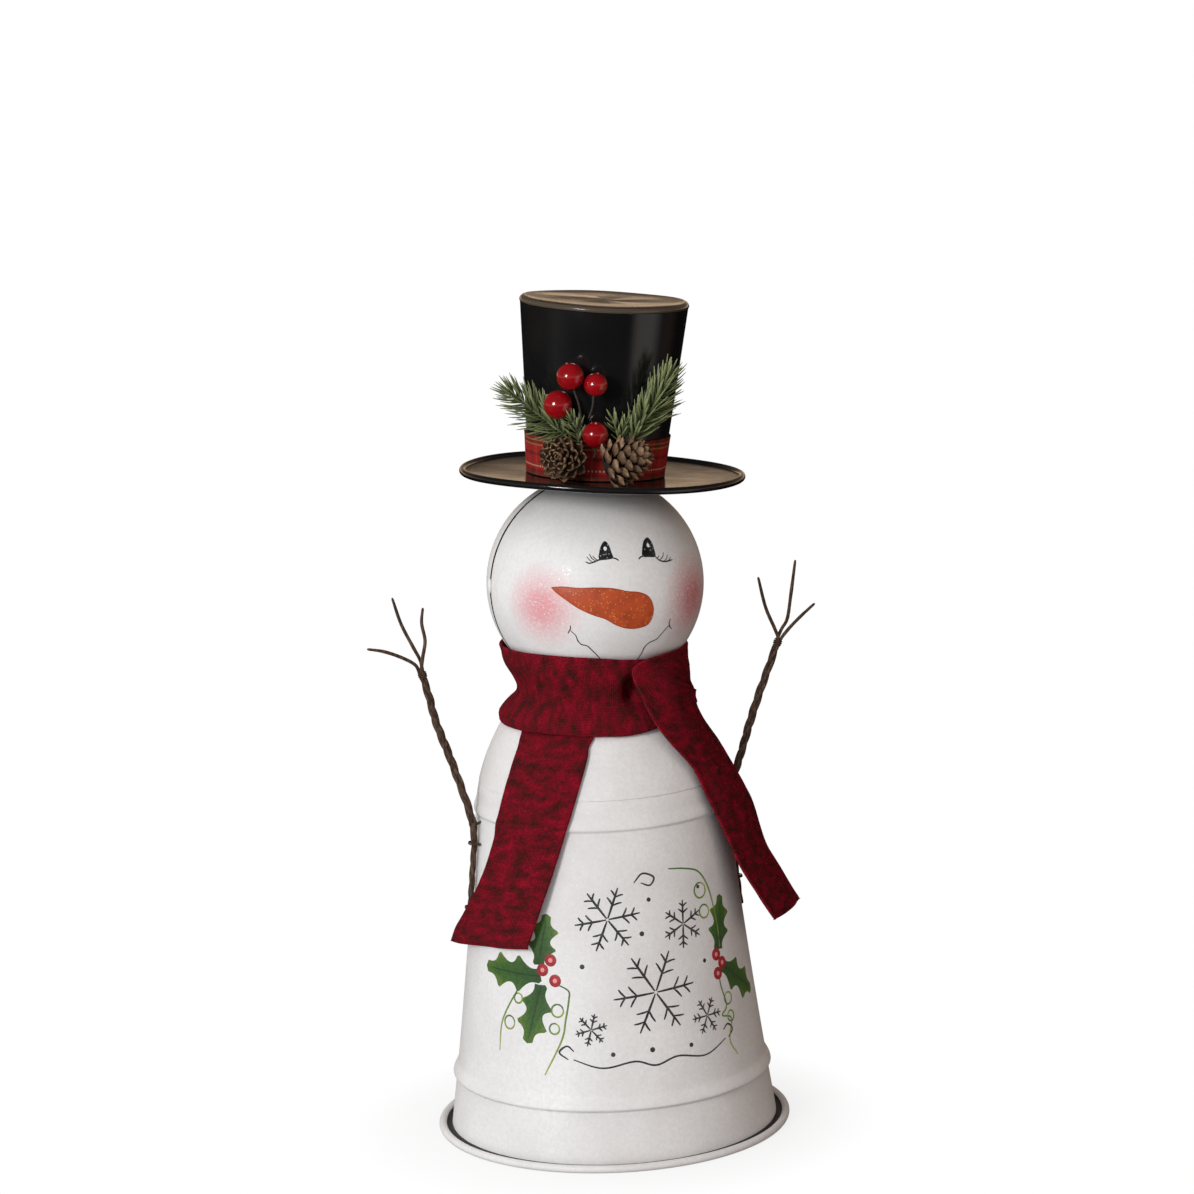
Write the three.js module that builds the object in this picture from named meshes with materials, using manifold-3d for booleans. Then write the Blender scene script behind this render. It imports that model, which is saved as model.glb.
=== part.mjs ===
// A free-standing snowman figure of painted sheet metal: an upturned tapered bucket for a body,
// a round head pressed in two halves, a top hat trimmed with a ribbon and a winter pick, twisted
// wire arms that turn in clips on the bucket, and a knitted scarf.
//
// Millimetres, +Z up. The origin is on the bucket's axis, on the surface that the figure stands
// on, and the figure faces -Y. Left is -X and right is +X, as seen from the front.

import * as THREE from "three";
import { mergeVertices } from "three/addons/utils/BufferGeometryUtils.js";
import Module from "manifold-3d";

const wasm = await Module();
wasm.setup();

// Driving dimensions.

const GAP = 0.3; // between pieces that touch
const SHEET = 0.5; // sheet metal with its paint
const ROUND_SIDES = 40; // sides of a body of revolution
const DEG = Math.PI / 180;

const FOOT_RADIUS = 101.6; // outside of the bucket wall at the rest surface
const WALL_TAPER = 0.145; // radius lost per millimetre of height, at the foot
const WALL_FLARE = 0.000125; // how the taper eases with height
const SHOULDER_Z = 205; // where the wall starts to round in
const SHOULDER_CURVE = 0.0052;
const WALL_TOP_Z = 225.5;
const CAP_SKIRT_Z = 221; // lower edge of the domed cap's skirt
const CAP_CORNER_Z = 255; // where the cap turns towards its flat top
const CAP_TOP_Z = 264.5;
const LOWER_BEAD = { z: 36.5, height: 1.4, half: 5.5 };
const UPPER_BEAD = { z: 204, height: 0.8, half: 5 };
const RIM_RADIUS = 109.4;
const RIM_ROLL = 2.5; // outside radius of the rolled rim
const RIM_FLAT = 2.4; // width of the rim's flat underside

const HEAD_RADIUS = 66.3;
const HEAD_X = 2;
const HEAD_Z = 340.3;
const HEAD_SIDES = 32;
const SEAM_GAP = 2.2; // open joint between the head's two halves

const HAT_TILT = 4.5; // degrees, towards +X
const BRIM_RADIUS = 87;
const BRIM_SHIFT = 2.2; // of the brim's centre from the crown's, towards +X
const BRIM_ROLL = 1.8;
const CROWN_FOOT_RADIUS = 40.8;
const CROWN_TOP_RADIUS = 51.3;
const CROWN_HEIGHT = 106.6;
const CROWN_LEAN = 2; // how far the crown's foot stands towards -X from under its lid
const BAND_HEIGHT = 24;
const BAND_THICK = 0.8;

const BOLT_RADIUS = 2.5;
const BOLT_HOLE = 3.2;
const WASHER_RADIUS = 9;
const WASHER_THICK = 1.2;

const WIRE_RADIUS = 0.95;
const TWIST_RADIUS = 1.3; // of the three wires' axes about the arm's axis
const TWIST_PITCH = 36;
const STEM_OFFSET = 3.1; // arm's axis to the bucket wall
const STEM_FOOT_Z = 128;
const STEM_BEND_Z = 193;
const CLIP_Z = [146, 186];

const SCARF_WIDTH = 50;
const SCARF_THICK = 2.5;

// Materials.

function paint(color, roughness, metalness = 0) {
  return new THREE.MeshStandardMaterial({ color, roughness, metalness });
}

const WHITE_PAINT = paint(0xe6e3e2, 0.6);
const BLACK_ENAMEL = paint(0x0b0b0c, 0.12);
const BARE_STEEL = paint(0x9a9ca0, 0.35, 1);
const BROWN_WRAP = paint(0x3f3026, 0.85);
const RED_KNIT = paint(0x7c0f18, 0.95);
const PLAID_RIBBON = paint(0x8a1418, 0.8);
const PINE_SCALE = paint(0x6b4c36, 0.85);
const PINE_NEEDLE = paint(0x5f7350, 0.8);
const BERRY_RED = paint(0xb00812, 0.15);

// Geometry helpers.

/** The geometry with positions only and shared vertices merged, its faces pointing outwards. */
function closed(geometry) {
  const bare = new THREE.BufferGeometry();
  bare.setAttribute("position", geometry.getAttribute("position"));
  bare.setIndex(geometry.getIndex());
  const merged = mergeVertices(bare, 1e-3);
  const at = merged.getAttribute("position");
  const index = merged.getIndex().array;
  const corners = [new THREE.Vector3(), new THREE.Vector3(), new THREE.Vector3()];
  const faces = [];
  let volume = 0;
  for (let i = 0; i < index.length; i += 3) {
    const [a, b, c] = index.slice(i, i + 3);
    if (a === b || b === c || c === a) continue;
    corners.forEach((corner, k) => corner.fromBufferAttribute(at, index[i + k]));
    volume += corners[0].dot(corners[1].clone().cross(corners[2]));
    faces.push([a, b, c]);
  }
  if (volume < 0) faces.forEach((face) => face.reverse());
  merged.setIndex(faces.flat());
  merged.computeVertexNormals();
  return merged;
}

function toSolid(geometry) {
  const mesh = closed(geometry);
  const vertProperties = new Float32Array(mesh.getAttribute("position").array);
  const triVerts = new Uint32Array(mesh.getIndex().array);
  return new wasm.Manifold(new wasm.Mesh({ numProp: 3, vertProperties, triVerts }));
}

function fromSolid(solid) {
  const mesh = solid.getMesh();
  const geometry = new THREE.BufferGeometry();
  geometry.setAttribute("position", new THREE.BufferAttribute(mesh.vertProperties, 3));
  geometry.setIndex(new THREE.BufferAttribute(mesh.triVerts, 1));
  return geometry;
}

/** The base geometry with the cutters taken away. */
function cut(base, ...cutters) {
  return fromSolid(cutters.reduce((solid, cutter) => solid.subtract(toSolid(cutter)), toSolid(base)));
}

/** Turns an outline of [radius, height] points about the Z axis. */
function turned(outline, sides = ROUND_SIDES) {
  const points = outline.map(([radius, height]) => new THREE.Vector2(radius, height));
  return new THREE.LatheGeometry(points, sides).rotateX(Math.PI / 2);
}

/** The closed outline of a sheet whose middle follows the given [radius, height] points. */
function sheetOutline(middle, thickness = SHEET) {
  const points = middle.map(([radius, height]) => new THREE.Vector2(radius, height));
  const last = points.length - 1;
  const normalOf = (a, b) => new THREE.Vector2(a.y - b.y, b.x - a.x).normalize();
  const sides = [1, -1].map((side) =>
    points.map((point, i) => {
      const before = normalOf(points[Math.max(i - 1, 0)], points[Math.max(i, 1)]);
      const after = normalOf(points[Math.min(i, last - 1)], points[Math.min(i + 1, last)]);
      const miter = before.clone().add(after).normalize();
      const reach = (side * thickness) / 2 / miter.dot(after);
      return [point.x === 0 ? 0 : point.x + miter.x * reach, point.y + miter.y * reach];
    }),
  );
  const outline = [...sides[0], ...sides[1].reverse()];
  const onAxis = middle[0][0] === 0;
  return onAxis ? outline : [...outline, outline[0]];
}

const turnedSheet = (middle, thickness, sides) => turned(sheetOutline(middle, thickness), sides);

/** [radius, height] points on an arc, angles in degrees counted from the +radius direction. */
function arc(radius, height, size, from, to, steps) {
  return Array.from({ length: steps + 1 }, (_, i) => {
    const angle = (from + ((to - from) * i) / steps) * DEG;
    return [radius + size * Math.cos(angle), height + size * Math.sin(angle)];
  });
}

/** A tube of the given number of sides along a smooth curve through the points. */
function tube(points, radius, steps, sides = 6) {
  const section = new THREE.Shape(
    Array.from({ length: sides }, (_, i) => {
      const angle = (2 * Math.PI * i) / sides;
      return new THREE.Vector2(radius * Math.cos(angle), radius * Math.sin(angle));
    }),
  );
  const extrudePath = new THREE.CatmullRomCurve3(points.map((point) => new THREE.Vector3(...point)));
  return new THREE.ExtrudeGeometry(section, { steps, bevelEnabled: false, extrudePath });
}

/** A box bent to a surface; place gives the point and outward direction at u and v, from 0 to 1. */
function bentStrip(thickness, columns, rows, place) {
  const geometry = new THREE.BoxGeometry(1, 1, 1, columns, rows, 1);
  const at = geometry.getAttribute("position");
  for (let i = 0; i < at.count; i += 1) {
    const { point, outward } = place(at.getX(i) + 0.5, 0.5 - at.getY(i));
    point.addScaledVector(outward, at.getZ(i) * thickness);
    at.setXYZ(i, point.x, point.y, point.z);
  }
  return geometry;
}

/** An upright rod along Z between two heights. */
function rod(radius, low, high, sides = 12) {
  const length = high - low;
  const cylinder = new THREE.CylinderGeometry(radius, radius, length, sides);
  return cylinder.rotateX(Math.PI / 2).translate(0, 0, low + length / 2);
}

const between = THREE.MathUtils.lerp;
const snowman = new THREE.Group();

function add(name, geometry, material, parent = snowman) {
  const mesh = new THREE.Mesh(closed(geometry), material);
  mesh.name = name;
  parent.add(mesh);
  return mesh;
}

// Body.

/** Outside radius of the body at a height, without its beads. */
function bodyRadius(z) {
  const shoulder = Math.max(0, z - SHOULDER_Z);
  return FOOT_RADIUS - WALL_TAPER * z + WALL_FLARE * z * z - SHOULDER_CURVE * shoulder * shoulder;
}

/** A point on the body's surface, at an angle from the front towards +X, lifted off it. */
function onBody(angle, z, lift) {
  const outward = new THREE.Vector3(Math.sin(angle * DEG), -Math.cos(angle * DEG), 0);
  const point = outward.clone().multiplyScalar(bodyRadius(z) + lift);
  point.z = z;
  return { point, outward };
}

function addBody() {
  const lapStep = 0.6;
  const middleOf = (z, lift = 0) => [bodyRadius(z) - SHEET / 2 + lift, z];
  const bead = ({ z, height, half }) => [
    middleOf(z + half),
    middleOf(z + half / 3, height),
    middleOf(z - half / 3, height),
    middleOf(z - half),
  ];
  const rollX = RIM_RADIUS - RIM_ROLL;
  const rollMiddle = RIM_ROLL - SHEET / 2;
  const wall = [
    middleOf(WALL_TOP_Z, -lapStep),
    middleOf(CAP_SKIRT_Z, -lapStep),
    middleOf(CAP_SKIRT_Z - 1.5),
    ...bead(UPPER_BEAD),
    middleOf(150),
    middleOf(95),
    ...bead(LOWER_BEAD),
    middleOf(20),
    middleOf(3.4),
    [FOOT_RADIUS + 1.4, 1.2],
    [rollX - RIM_FLAT / 2, SHEET / 2],
    [rollX + RIM_FLAT / 2, SHEET / 2],
    ...arc(rollX, RIM_ROLL, rollMiddle, 320, 520, 5),
  ];
  add("body_wall", turnedSheet(wall), WHITE_PAINT);

  const seamWidth = 8;
  const seam = bentStrip(SHEET, 2, 6, (u, v) => {
    const z = between(UPPER_BEAD.z - UPPER_BEAD.half, LOWER_BEAD.z + LOWER_BEAD.half, v);
    return onBody(180 + ((u - 0.5) * seamWidth) / bodyRadius(z) / DEG, z, GAP + SHEET / 2);
  });
  add("body_seam_strip", seam, WHITE_PAINT);

  const skirtLift = GAP + SHEET - lapStep;
  const corner = CAP_TOP_Z - CAP_CORNER_Z;
  const shoulderHeights = [WALL_TOP_Z, 232, 239, 245, 250, CAP_CORNER_Z];
  const cap = [
    middleOf(CAP_SKIRT_Z, skirtLift),
    ...shoulderHeights.map((z) => middleOf(z, skirtLift)),
    [bodyRadius(CAP_CORNER_Z) - corner * 0.55, CAP_TOP_Z - corner * 0.28],
    [bodyRadius(CAP_CORNER_Z) - corner * 1.3, CAP_TOP_Z - SHEET / 2],
    [BOLT_HOLE + 3 + HEAD_X, CAP_TOP_Z - SHEET / 2],
    [0, CAP_TOP_Z - SHEET / 2],
  ].reverse();
  const hole = rod(BOLT_HOLE, CAP_TOP_Z - 5, CAP_TOP_Z + 5).translate(HEAD_X, 0, 0);
  add("body_cap", cut(turnedSheet(cap), hole), WHITE_PAINT);
}

// Fasteners: a pan-head bolt, two washers and a nut, on a group's Z axis.

/** low and high are the outsides of the joint that the bolt draws together; the head is at high. */
function addFasteners(prefix, low, high, parent) {
  const headHeight = 3.2;
  const nutHeight = 4;
  const upperWasher = high + GAP;
  const headFoot = upperWasher + WASHER_THICK + GAP;
  const lowerWasher = low - GAP - WASHER_THICK;
  const nutFoot = lowerWasher - GAP - nutHeight;
  const boltEnd = nutFoot - 3;
  const bolt = [
    [0, headFoot + headHeight],
    [3.4, headFoot + headHeight],
    [4.8, headFoot + headHeight / 2],
    [4.8, headFoot],
    [BOLT_RADIUS, headFoot],
    [BOLT_RADIUS, boltEnd],
    [0, boltEnd],
  ];
  const clearance = rod(BOLT_RADIUS + GAP, boltEnd, headFoot);
  const washer = (foot) => cut(rod(WASHER_RADIUS, foot, foot + WASHER_THICK, 20), clearance);
  add(`${prefix}_bolt`, turned(bolt, 12), BARE_STEEL, parent);
  add(`${prefix}_washer_upper`, washer(upperWasher), BARE_STEEL, parent);
  add(`${prefix}_washer_lower`, washer(lowerWasher), BARE_STEEL, parent);
  const nut = cut(rod(4.6, nutFoot, nutFoot + nutHeight, 6), clearance);
  add(`${prefix}_nut`, nut, BARE_STEEL, parent);
}

/** Height of a flat washer's seat inside the head, from its centre; flat facets lie inside the round. */
function seatDepth() {
  const inside = (HEAD_RADIUS - SHEET) * Math.cos(Math.PI / HEAD_SIDES) ** 2;
  return Math.sqrt(inside ** 2 - WASHER_RADIUS ** 2);
}

function addNeck() {
  const tubeRadius = 28;
  const neck = new THREE.Group();
  neck.position.x = HEAD_X;
  const headBottom = HEAD_Z - Math.sqrt(HEAD_RADIUS ** 2 - tubeRadius ** 2);
  const collar = [
    [tubeRadius - SHEET / 2, CAP_TOP_Z + GAP],
    [tubeRadius - SHEET / 2, headBottom - 3 * GAP],
  ];
  add("neck_collar", turnedSheet(collar), WHITE_PAINT, neck);
  addFasteners("neck", CAP_TOP_Z - SHEET, HEAD_Z - seatDepth(), neck);
  snowman.add(neck);
}

// Head: two pressed halves that meet in the X-Z plane over inner joint strips.

function addHead(hatAxis) {
  const head = new THREE.Group();
  head.position.set(HEAD_X, 0, HEAD_Z);
  const shellMiddle = HEAD_RADIUS - SHEET / 2;
  const rimAngle = Math.asin(SEAM_GAP / 2 / shellMiddle) / DEG;
  const quarter = arc(0, 0, shellMiddle, 90, rimAngle, 8);
  quarter[0][0] = 0;
  const half = () => turnedSheet(quarter, SHEET, HEAD_SIDES);
  const neckHole = rod(BOLT_HOLE, -HEAD_RADIUS - 5, -HEAD_RADIUS + 8);
  const hatHole = rod(BOLT_HOLE, HEAD_RADIUS - 8, HEAD_RADIUS + 5).rotateY(hatAxis);
  add("head_front_shell", cut(half().rotateX(Math.PI / 2), neckHole, hatHole), WHITE_PAINT, head);
  add("head_back_shell", cut(half().rotateX(-Math.PI / 2), neckHole, hatHole), WHITE_PAINT, head);

  const stripMiddle = HEAD_RADIUS - SHEET - 2 * GAP - SHEET / 2;
  const stripHalfWidth = 5;
  const stripEnd = 14; // distance of each strip's ends from the bolts' axis
  const tackHeight = 4; // above the head's centre
  const edges = [-stripHalfWidth, stripHalfWidth].map((h) => [stripMiddle, h]);
  const ring = turnedSheet(edges, SHEET, HEAD_SIDES).rotateX(Math.PI / 2);
  const reach = 2 * HEAD_RADIUS;
  for (const [side, sign] of Object.entries({ left: -1, right: 1 })) {
    const beyond = new THREE.BoxGeometry(reach, reach, 2 * reach);
    beyond.translate(sign * (stripEnd - reach / 2), 0, 0);
    add(`head_joint_strip_${side}`, cut(ring, beyond), BARE_STEEL, head);

    const tack = new THREE.SphereGeometry(1, 12, 8).scale(1.6, 2.2, 5);
    tack.translate(sign * HEAD_RADIUS, 0, tackHeight);
    const skin = new THREE.SphereGeometry(HEAD_RADIUS + GAP, 96, 64);
    add(`head_tack_${side}`, cut(tack, skin), WHITE_PAINT, head);
  }
  snowman.add(head);
}

// Hat, in its own group: Z runs from the head's centre through the hat, tilted towards +X.

const BRIM_UNDER = HEAD_RADIUS + GAP;
const BRIM_TOP = BRIM_UNDER + SHEET;

function crownRadius(z) {
  return between(CROWN_FOOT_RADIUS, CROWN_TOP_RADIUS, (z - BRIM_TOP) / CROWN_HEIGHT);
}

function addHat(hat) {
  const rollX = BRIM_RADIUS - BRIM_ROLL;
  const brimMiddle = BRIM_UNDER + SHEET / 2;
  const meet = Math.asin(SHEET / 2 / BRIM_ROLL) / DEG;
  const disc = turned([
    [0, BRIM_UNDER],
    ...arc(rollX, brimMiddle, BRIM_ROLL, 180 + meet, 540 - meet, 6),
    [0, BRIM_TOP],
  ]).translate(BRIM_SHIFT, 0, 0);
  add("hat_brim", cut(disc, rod(BOLT_HOLE, BRIM_UNDER - 3, BRIM_TOP + 3)), BLACK_ENAMEL, hat);

  const lidTop = BRIM_TOP + CROWN_HEIGHT;
  const slope = CROWN_LEAN / CROWN_HEIGHT;
  const lean = new THREE.Matrix4().makeShear(0, 0, 0, 0, slope, 0);
  lean.setPosition(-slope * lidTop, 0, 0);
  const crownTop = lidTop - 4.2;
  const crown = [BRIM_TOP + GAP, crownTop].map((z) => [crownRadius(z) - SHEET / 2, z]);
  add("hat_crown", turnedSheet(crown).applyMatrix4(lean), BLACK_ENAMEL, hat);

  const lid = [
    [0, lidTop - SHEET / 2],
    [CROWN_TOP_RADIUS - 3.4, lidTop - SHEET / 2],
    [CROWN_TOP_RADIUS - 1.1, lidTop - 1.6],
    [CROWN_TOP_RADIUS - SHEET / 2, crownTop + GAP],
  ];
  add("hat_top", turnedSheet(lid).applyMatrix4(lean), BLACK_ENAMEL, hat);

  const ribbonFoot = BRIM_TOP + 2 * GAP;
  const ribbonLift = GAP + BAND_THICK / 2 + 0.1;
  const ribbon = [ribbonFoot, ribbonFoot + BAND_HEIGHT].map((z) => [crownRadius(z) + ribbonLift, z]);
  add("hat_band", turnedSheet(ribbon, BAND_THICK).applyMatrix4(lean), PLAID_RIBBON, hat);
  addFasteners("hat", seatDepth(), BRIM_TOP, hat);
}

/** Cones, berries and evergreen sprigs, placed in the hat's group in front of the crown. */
function addPick(hat) {
  const cone = (halfSize) => new THREE.SphereGeometry(1, 14, 10).scale(...halfSize);
  const leftCone = cone([14.6, 12, 15.4]).rotateZ(-39 * DEG).translate(-36.7, -44.6, 83);
  const rightCone = cone([15.6, 12.8, 14.6]).rotateY(-20 * DEG).translate(-4.2, -62, 82.9);
  add("pinecone_left", leftCone, PINE_SCALE, hat);
  add("pinecone_right", rightCone, PINE_SCALE, hat);

  const berries = [
    { centre: [-34.9, -48.9, 131.2], radius: 8.3, foot: [-27, -48.4, 106] },
    { centre: [-20.9, -54.9, 127.1], radius: 7.1, foot: [-23.2, -51.2, 107] },
    { centre: [-40.2, -43, 113.8], radius: 8.7, foot: [-27, -51.2, 101.5] },
    { centre: [-19.6, -53.4, 97.2], radius: 7.8, foot: [-18.2, -47.8, 83] },
  ];
  berries.forEach(({ centre, radius, foot }, i) => {
    add(`berry_${i + 1}`, new THREE.SphereGeometry(radius, 12, 8).translate(...centre), BERRY_RED, hat);
    const top = new THREE.Vector3(...centre);
    const base = new THREE.Vector3(...foot);
    top.addScaledVector(base.clone().sub(top).normalize(), radius + 2 * GAP);
    const middle = top.clone().lerp(base, 0.5).add(new THREE.Vector3(0, -1, 0));
    add(`berry_stem_${i + 1}`, tube([top.toArray(), middle.toArray(), foot], 0.6, 6), BROWN_WRAP, hat);
  });

  const sprigs = {
    left: { path: [[-43, -37, 102], [-53, -30, 110], [-64.5, -24.5, 119]], radius: 3.5 },
    right: { path: [[9, -53, 103], [16.5, -54, 115], [23, -56, 129.5]], radius: 3.5 },
    middle: { path: [[-29, -48, 99.5], [-31, -47.5, 102], [-32.2, -47, 104]], radius: 1 },
  };
  Object.entries(sprigs).forEach(([name, { path, radius }]) => {
    add(`sprig_${name}`, tube(path, radius, 6), PINE_NEEDLE, hat);
  });
}

// Arms: three wrapped wires twisted together, which part into three fingers.

const STEM_TOP = [bodyRadius(STEM_BEND_Z) + STEM_OFFSET, STEM_BEND_Z];
const STEM_FOOT = [bodyRadius(STEM_FOOT_Z) + STEM_OFFSET, STEM_FOOT_Z];

/** side is -1 or 1; the arm's [outward, height] points run up from the bend to the fork. */
const ARMS = {
  left: {
    side: -1,
    forearm: [[83.2, 203], [93, 236], [102.3, 264], [106, 281], [110, 296]],
    fingers: [
      [[113.6, 300.4], [121.8, 305.6], [132.4, 310.2], [142.6, 312.7]],
      [[110.2, 303], [114.2, 311.5], [120.8, 326], [125.6, 342.5]],
      [[109, 304], [106.8, 314.5], [108.3, 325.5], [107, 334.8]],
    ],
  },
  right: {
    side: 1,
    forearm: [[83.2, 203], [89.6, 218], [101, 250], [112, 277], [119.2, 294]],
    fingers: [
      [[123.2, 297], [128.4, 302], [135.6, 308], [143.6, 314]],
      [[121.8, 299.8], [125.6, 306], [128.2, 320], [131.9, 342.4]],
      [[116.4, 301], [111, 315], [107, 334]],
    ],
  },
};

function addArm(name, { side, forearm, fingers }) {
  const upStem = (t) => STEM_FOOT.map((start, k) => between(start, STEM_TOP[k], t));
  const course = [...[0, 0.4, 0.7, 0.92].map(upStem), ...forearm];
  const axis = new THREE.CatmullRomCurve3(course.map(([x, z]) => new THREE.Vector3(side * x, 0, z)));
  const length = axis.getLength();
  const samples = 48;
  fingers.forEach((finger, k) => {
    const points = [];
    for (let i = 0; i <= samples; i += 1) {
      const along = i / samples;
      const tangent = axis.getTangentAt(along);
      const turn = 2 * Math.PI * (k / 3 + ((along - 1) * length) / TWIST_PITCH);
      const across = new THREE.Vector3(tangent.z, 0, -tangent.x).multiplyScalar(side);
      const point = axis.getPointAt(along).addScaledVector(across, TWIST_RADIUS * Math.cos(turn));
      point.y += TWIST_RADIUS * Math.sin(turn);
      points.push(point.toArray());
    }
    finger.forEach(([x, z], i) => {
      const spread = points[samples][1] * (1 - i / finger.length);
      points.push([side * x, spread, z]);
    });
    add(`${name}_arm_wire_${k + 1}`, tube(points, WIRE_RADIUS, 60), BROWN_WRAP);
  });
  const [lower, upper] = CLIP_Z.map((z) => armClip(side, z));
  add(`${name}_arm_clip_lower`, lower, BROWN_WRAP);
  add(`${name}_arm_clip_upper`, upper, BROWN_WRAP);
}

/** A staple of flat wire bent over the arm's stem, its two feet against the bucket wall. */
function armClip(side, z) {
  const depth = 2.4;
  const inner = 2.75;
  const thick = 1;
  const foot = 5.2;
  const base = STEM_OFFSET - GAP;
  const outline = new THREE.Shape();
  const strapPoints = [
    [-foot, -base],
    [-inner, -base],
    ...arc(0, 0, inner, 180, 0, 6),
    [inner, -base],
    [foot, -base],
    [foot, -base + thick],
    [inner + thick, -base + thick],
    ...arc(0, 0, inner + thick, 0, 180, 6),
    [-inner - thick, -base + thick],
    [-foot, -base + thick],
  ];
  outline.setFromPoints(strapPoints.map(([x, y]) => new THREE.Vector2(x, y)));
  const strap = new THREE.ExtrudeGeometry(outline, { depth, bevelEnabled: false });
  strap.translate(0, 0, -depth / 2);
  const lean = Math.atan2(STEM_FOOT[0] - STEM_TOP[0], STEM_BEND_Z - STEM_FOOT_Z);
  strap.rotateZ(-Math.PI / 2).rotateY(-lean);
  if (side < 0) strap.rotateZ(Math.PI);
  return strap.translate(side * (bodyRadius(z) + STEM_OFFSET), 0, z);
}

// Scarf: a collar wound round the neck and two hanging ends.

function addScarf() {
  const collar = [
    [64.4, 248.6],
    [61.6, 255],
    [55.5, 265],
    [51.8, 275],
    [53.4, 288],
    [58.8, 303],
  ].map(([radius, z]) => [radius + SCARF_THICK, z]);
  const scarfCollar = turnedSheet(collar, SCARF_THICK).translate(HEAD_X / 2, 0, 0);
  add("scarf_collar", scarfCollar, RED_KNIT);

  // The left end lies on the wall and rises over the arm's stem.
  const topZ = 244;
  const hemZ = [123.5, 134]; // at the left and right edges
  const clear = UPPER_BEAD.height + 1 + SCARF_THICK / 2; // of the wall and its bead
  const riseOverStem = 7.4;
  const leftEdge = (z) => -63.5 - 0.00235 * (topZ + 2 - z) ** 2; // degrees round from the front
  const rightEdge = (z) => -24 - 0.245 * (topZ + 2 - z);
  const leftEnd = bentStrip(SCARF_THICK, 8, 10, (u, v) => {
    const z = between(topZ, between(...hemZ, u), v);
    const angle = between(leftEdge(z), rightEdge(z), u);
    return onBody(angle, z, clear + riseOverStem * THREE.MathUtils.smoothstep(-angle, 70, 84));
  });
  add("scarf_tail_left", leftEnd, RED_KNIT);

  // The right end leaves the shoulder and stands clear of the wall all the way down.
  const start = new THREE.Vector3(54, -50, 242);
  const end = new THREE.Vector3(101.2, -47.7, 134);
  const run = end.clone().sub(start).normalize();
  const rightEnd = bentStrip(SCARF_THICK, 2, 6, (u, v) => {
    const facing = between(42, 52, v) * DEG; // the cloth turns a little outwards on its way down
    const outward = new THREE.Vector3(Math.sin(facing), -Math.cos(facing), 0);
    outward.addScaledVector(run, -outward.dot(run)).normalize();
    const across = run.clone().cross(outward);
    const point = start.clone().lerp(end, v).addScaledVector(across, (u - 0.5) * SCARF_WIDTH);
    return { point, outward };
  });
  add("scarf_tail_right", rightEnd, RED_KNIT);
}

const hat = new THREE.Group();
hat.position.set(HEAD_X, 0, HEAD_Z);
hat.rotation.y = HAT_TILT * DEG;
snowman.add(hat);

addBody();
addNeck();
addHead(HAT_TILT * DEG);
addHat(hat);
addPick(hat);
Object.entries(ARMS).forEach(([name, arm]) => addArm(name, arm));
addScarf();

export default snowman;
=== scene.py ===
"""The look of a painted tin snowman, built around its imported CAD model.

Shapes are in millimetres, while materials, lights and the floor use metres. +Z is up, the figure faces
-Y and left is -X, as seen from the front. Angles round the body are in degrees, from the front towards +X.
"""

import math
import random

import bmesh
import bpy
import numpy as np
from mathutils import Matrix, Vector, noise
from mathutils.geometry import delaunay_2d_cdt


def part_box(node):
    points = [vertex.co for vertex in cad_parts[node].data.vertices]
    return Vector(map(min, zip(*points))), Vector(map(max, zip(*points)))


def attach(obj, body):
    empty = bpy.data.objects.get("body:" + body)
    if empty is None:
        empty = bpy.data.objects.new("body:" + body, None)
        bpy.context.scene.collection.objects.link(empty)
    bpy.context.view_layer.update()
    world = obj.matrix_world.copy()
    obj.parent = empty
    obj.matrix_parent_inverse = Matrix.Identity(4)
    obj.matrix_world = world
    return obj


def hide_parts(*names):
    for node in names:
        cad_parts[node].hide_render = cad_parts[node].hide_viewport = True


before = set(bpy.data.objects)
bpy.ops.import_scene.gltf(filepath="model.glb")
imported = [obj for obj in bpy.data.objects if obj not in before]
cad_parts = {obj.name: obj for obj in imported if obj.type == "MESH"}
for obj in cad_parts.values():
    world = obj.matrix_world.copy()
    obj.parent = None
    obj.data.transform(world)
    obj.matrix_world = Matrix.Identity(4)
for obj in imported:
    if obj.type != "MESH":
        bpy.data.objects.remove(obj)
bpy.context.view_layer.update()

MM = 0.001
GOLDEN_ANGLE = math.pi * (3 - math.sqrt(5))
scene = bpy.context.scene
scene.view_settings.view_transform = "Standard"


# Camera.


def add_camera():
    """The photograph's viewpoint: a long lens, a little above the figure and to its left."""
    data = bpy.data.cameras.new("photo_view")
    data.sensor_width, data.lens, data.clip_end = 36, 121.2, 60
    camera = bpy.data.objects.new("photo_view", data)
    scene.collection.objects.link(camera)
    azimuth, pitch, pan, roll = (math.radians(a) for a in (-16.5, 10.415, 0.064, 2.405))
    distance, height = 2413.5, 774.9
    ahead = Vector((-math.sin(azimuth), math.cos(azimuth), 0))
    side = Vector((math.cos(azimuth), math.sin(azimuth), 0))
    level = ahead * math.cos(pan) + side * math.sin(pan)
    side = side * math.cos(pan) - ahead * math.sin(pan)
    forward = level * math.cos(pitch) - Vector((0, 0, 1)) * math.sin(pitch)
    up = side.cross(forward)
    right = side * math.cos(roll) - up * math.sin(roll)
    up = up * math.cos(roll) + side * math.sin(roll)
    matrix = Matrix((right, up, -forward)).transposed().to_4x4()
    matrix.translation = Vector((distance * math.sin(azimuth), -distance * math.cos(azimuth), height)) * MM
    camera.matrix_world = matrix
    scene.camera = camera


add_camera()


# Driving dimensions, the same as the CAD model's.

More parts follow.
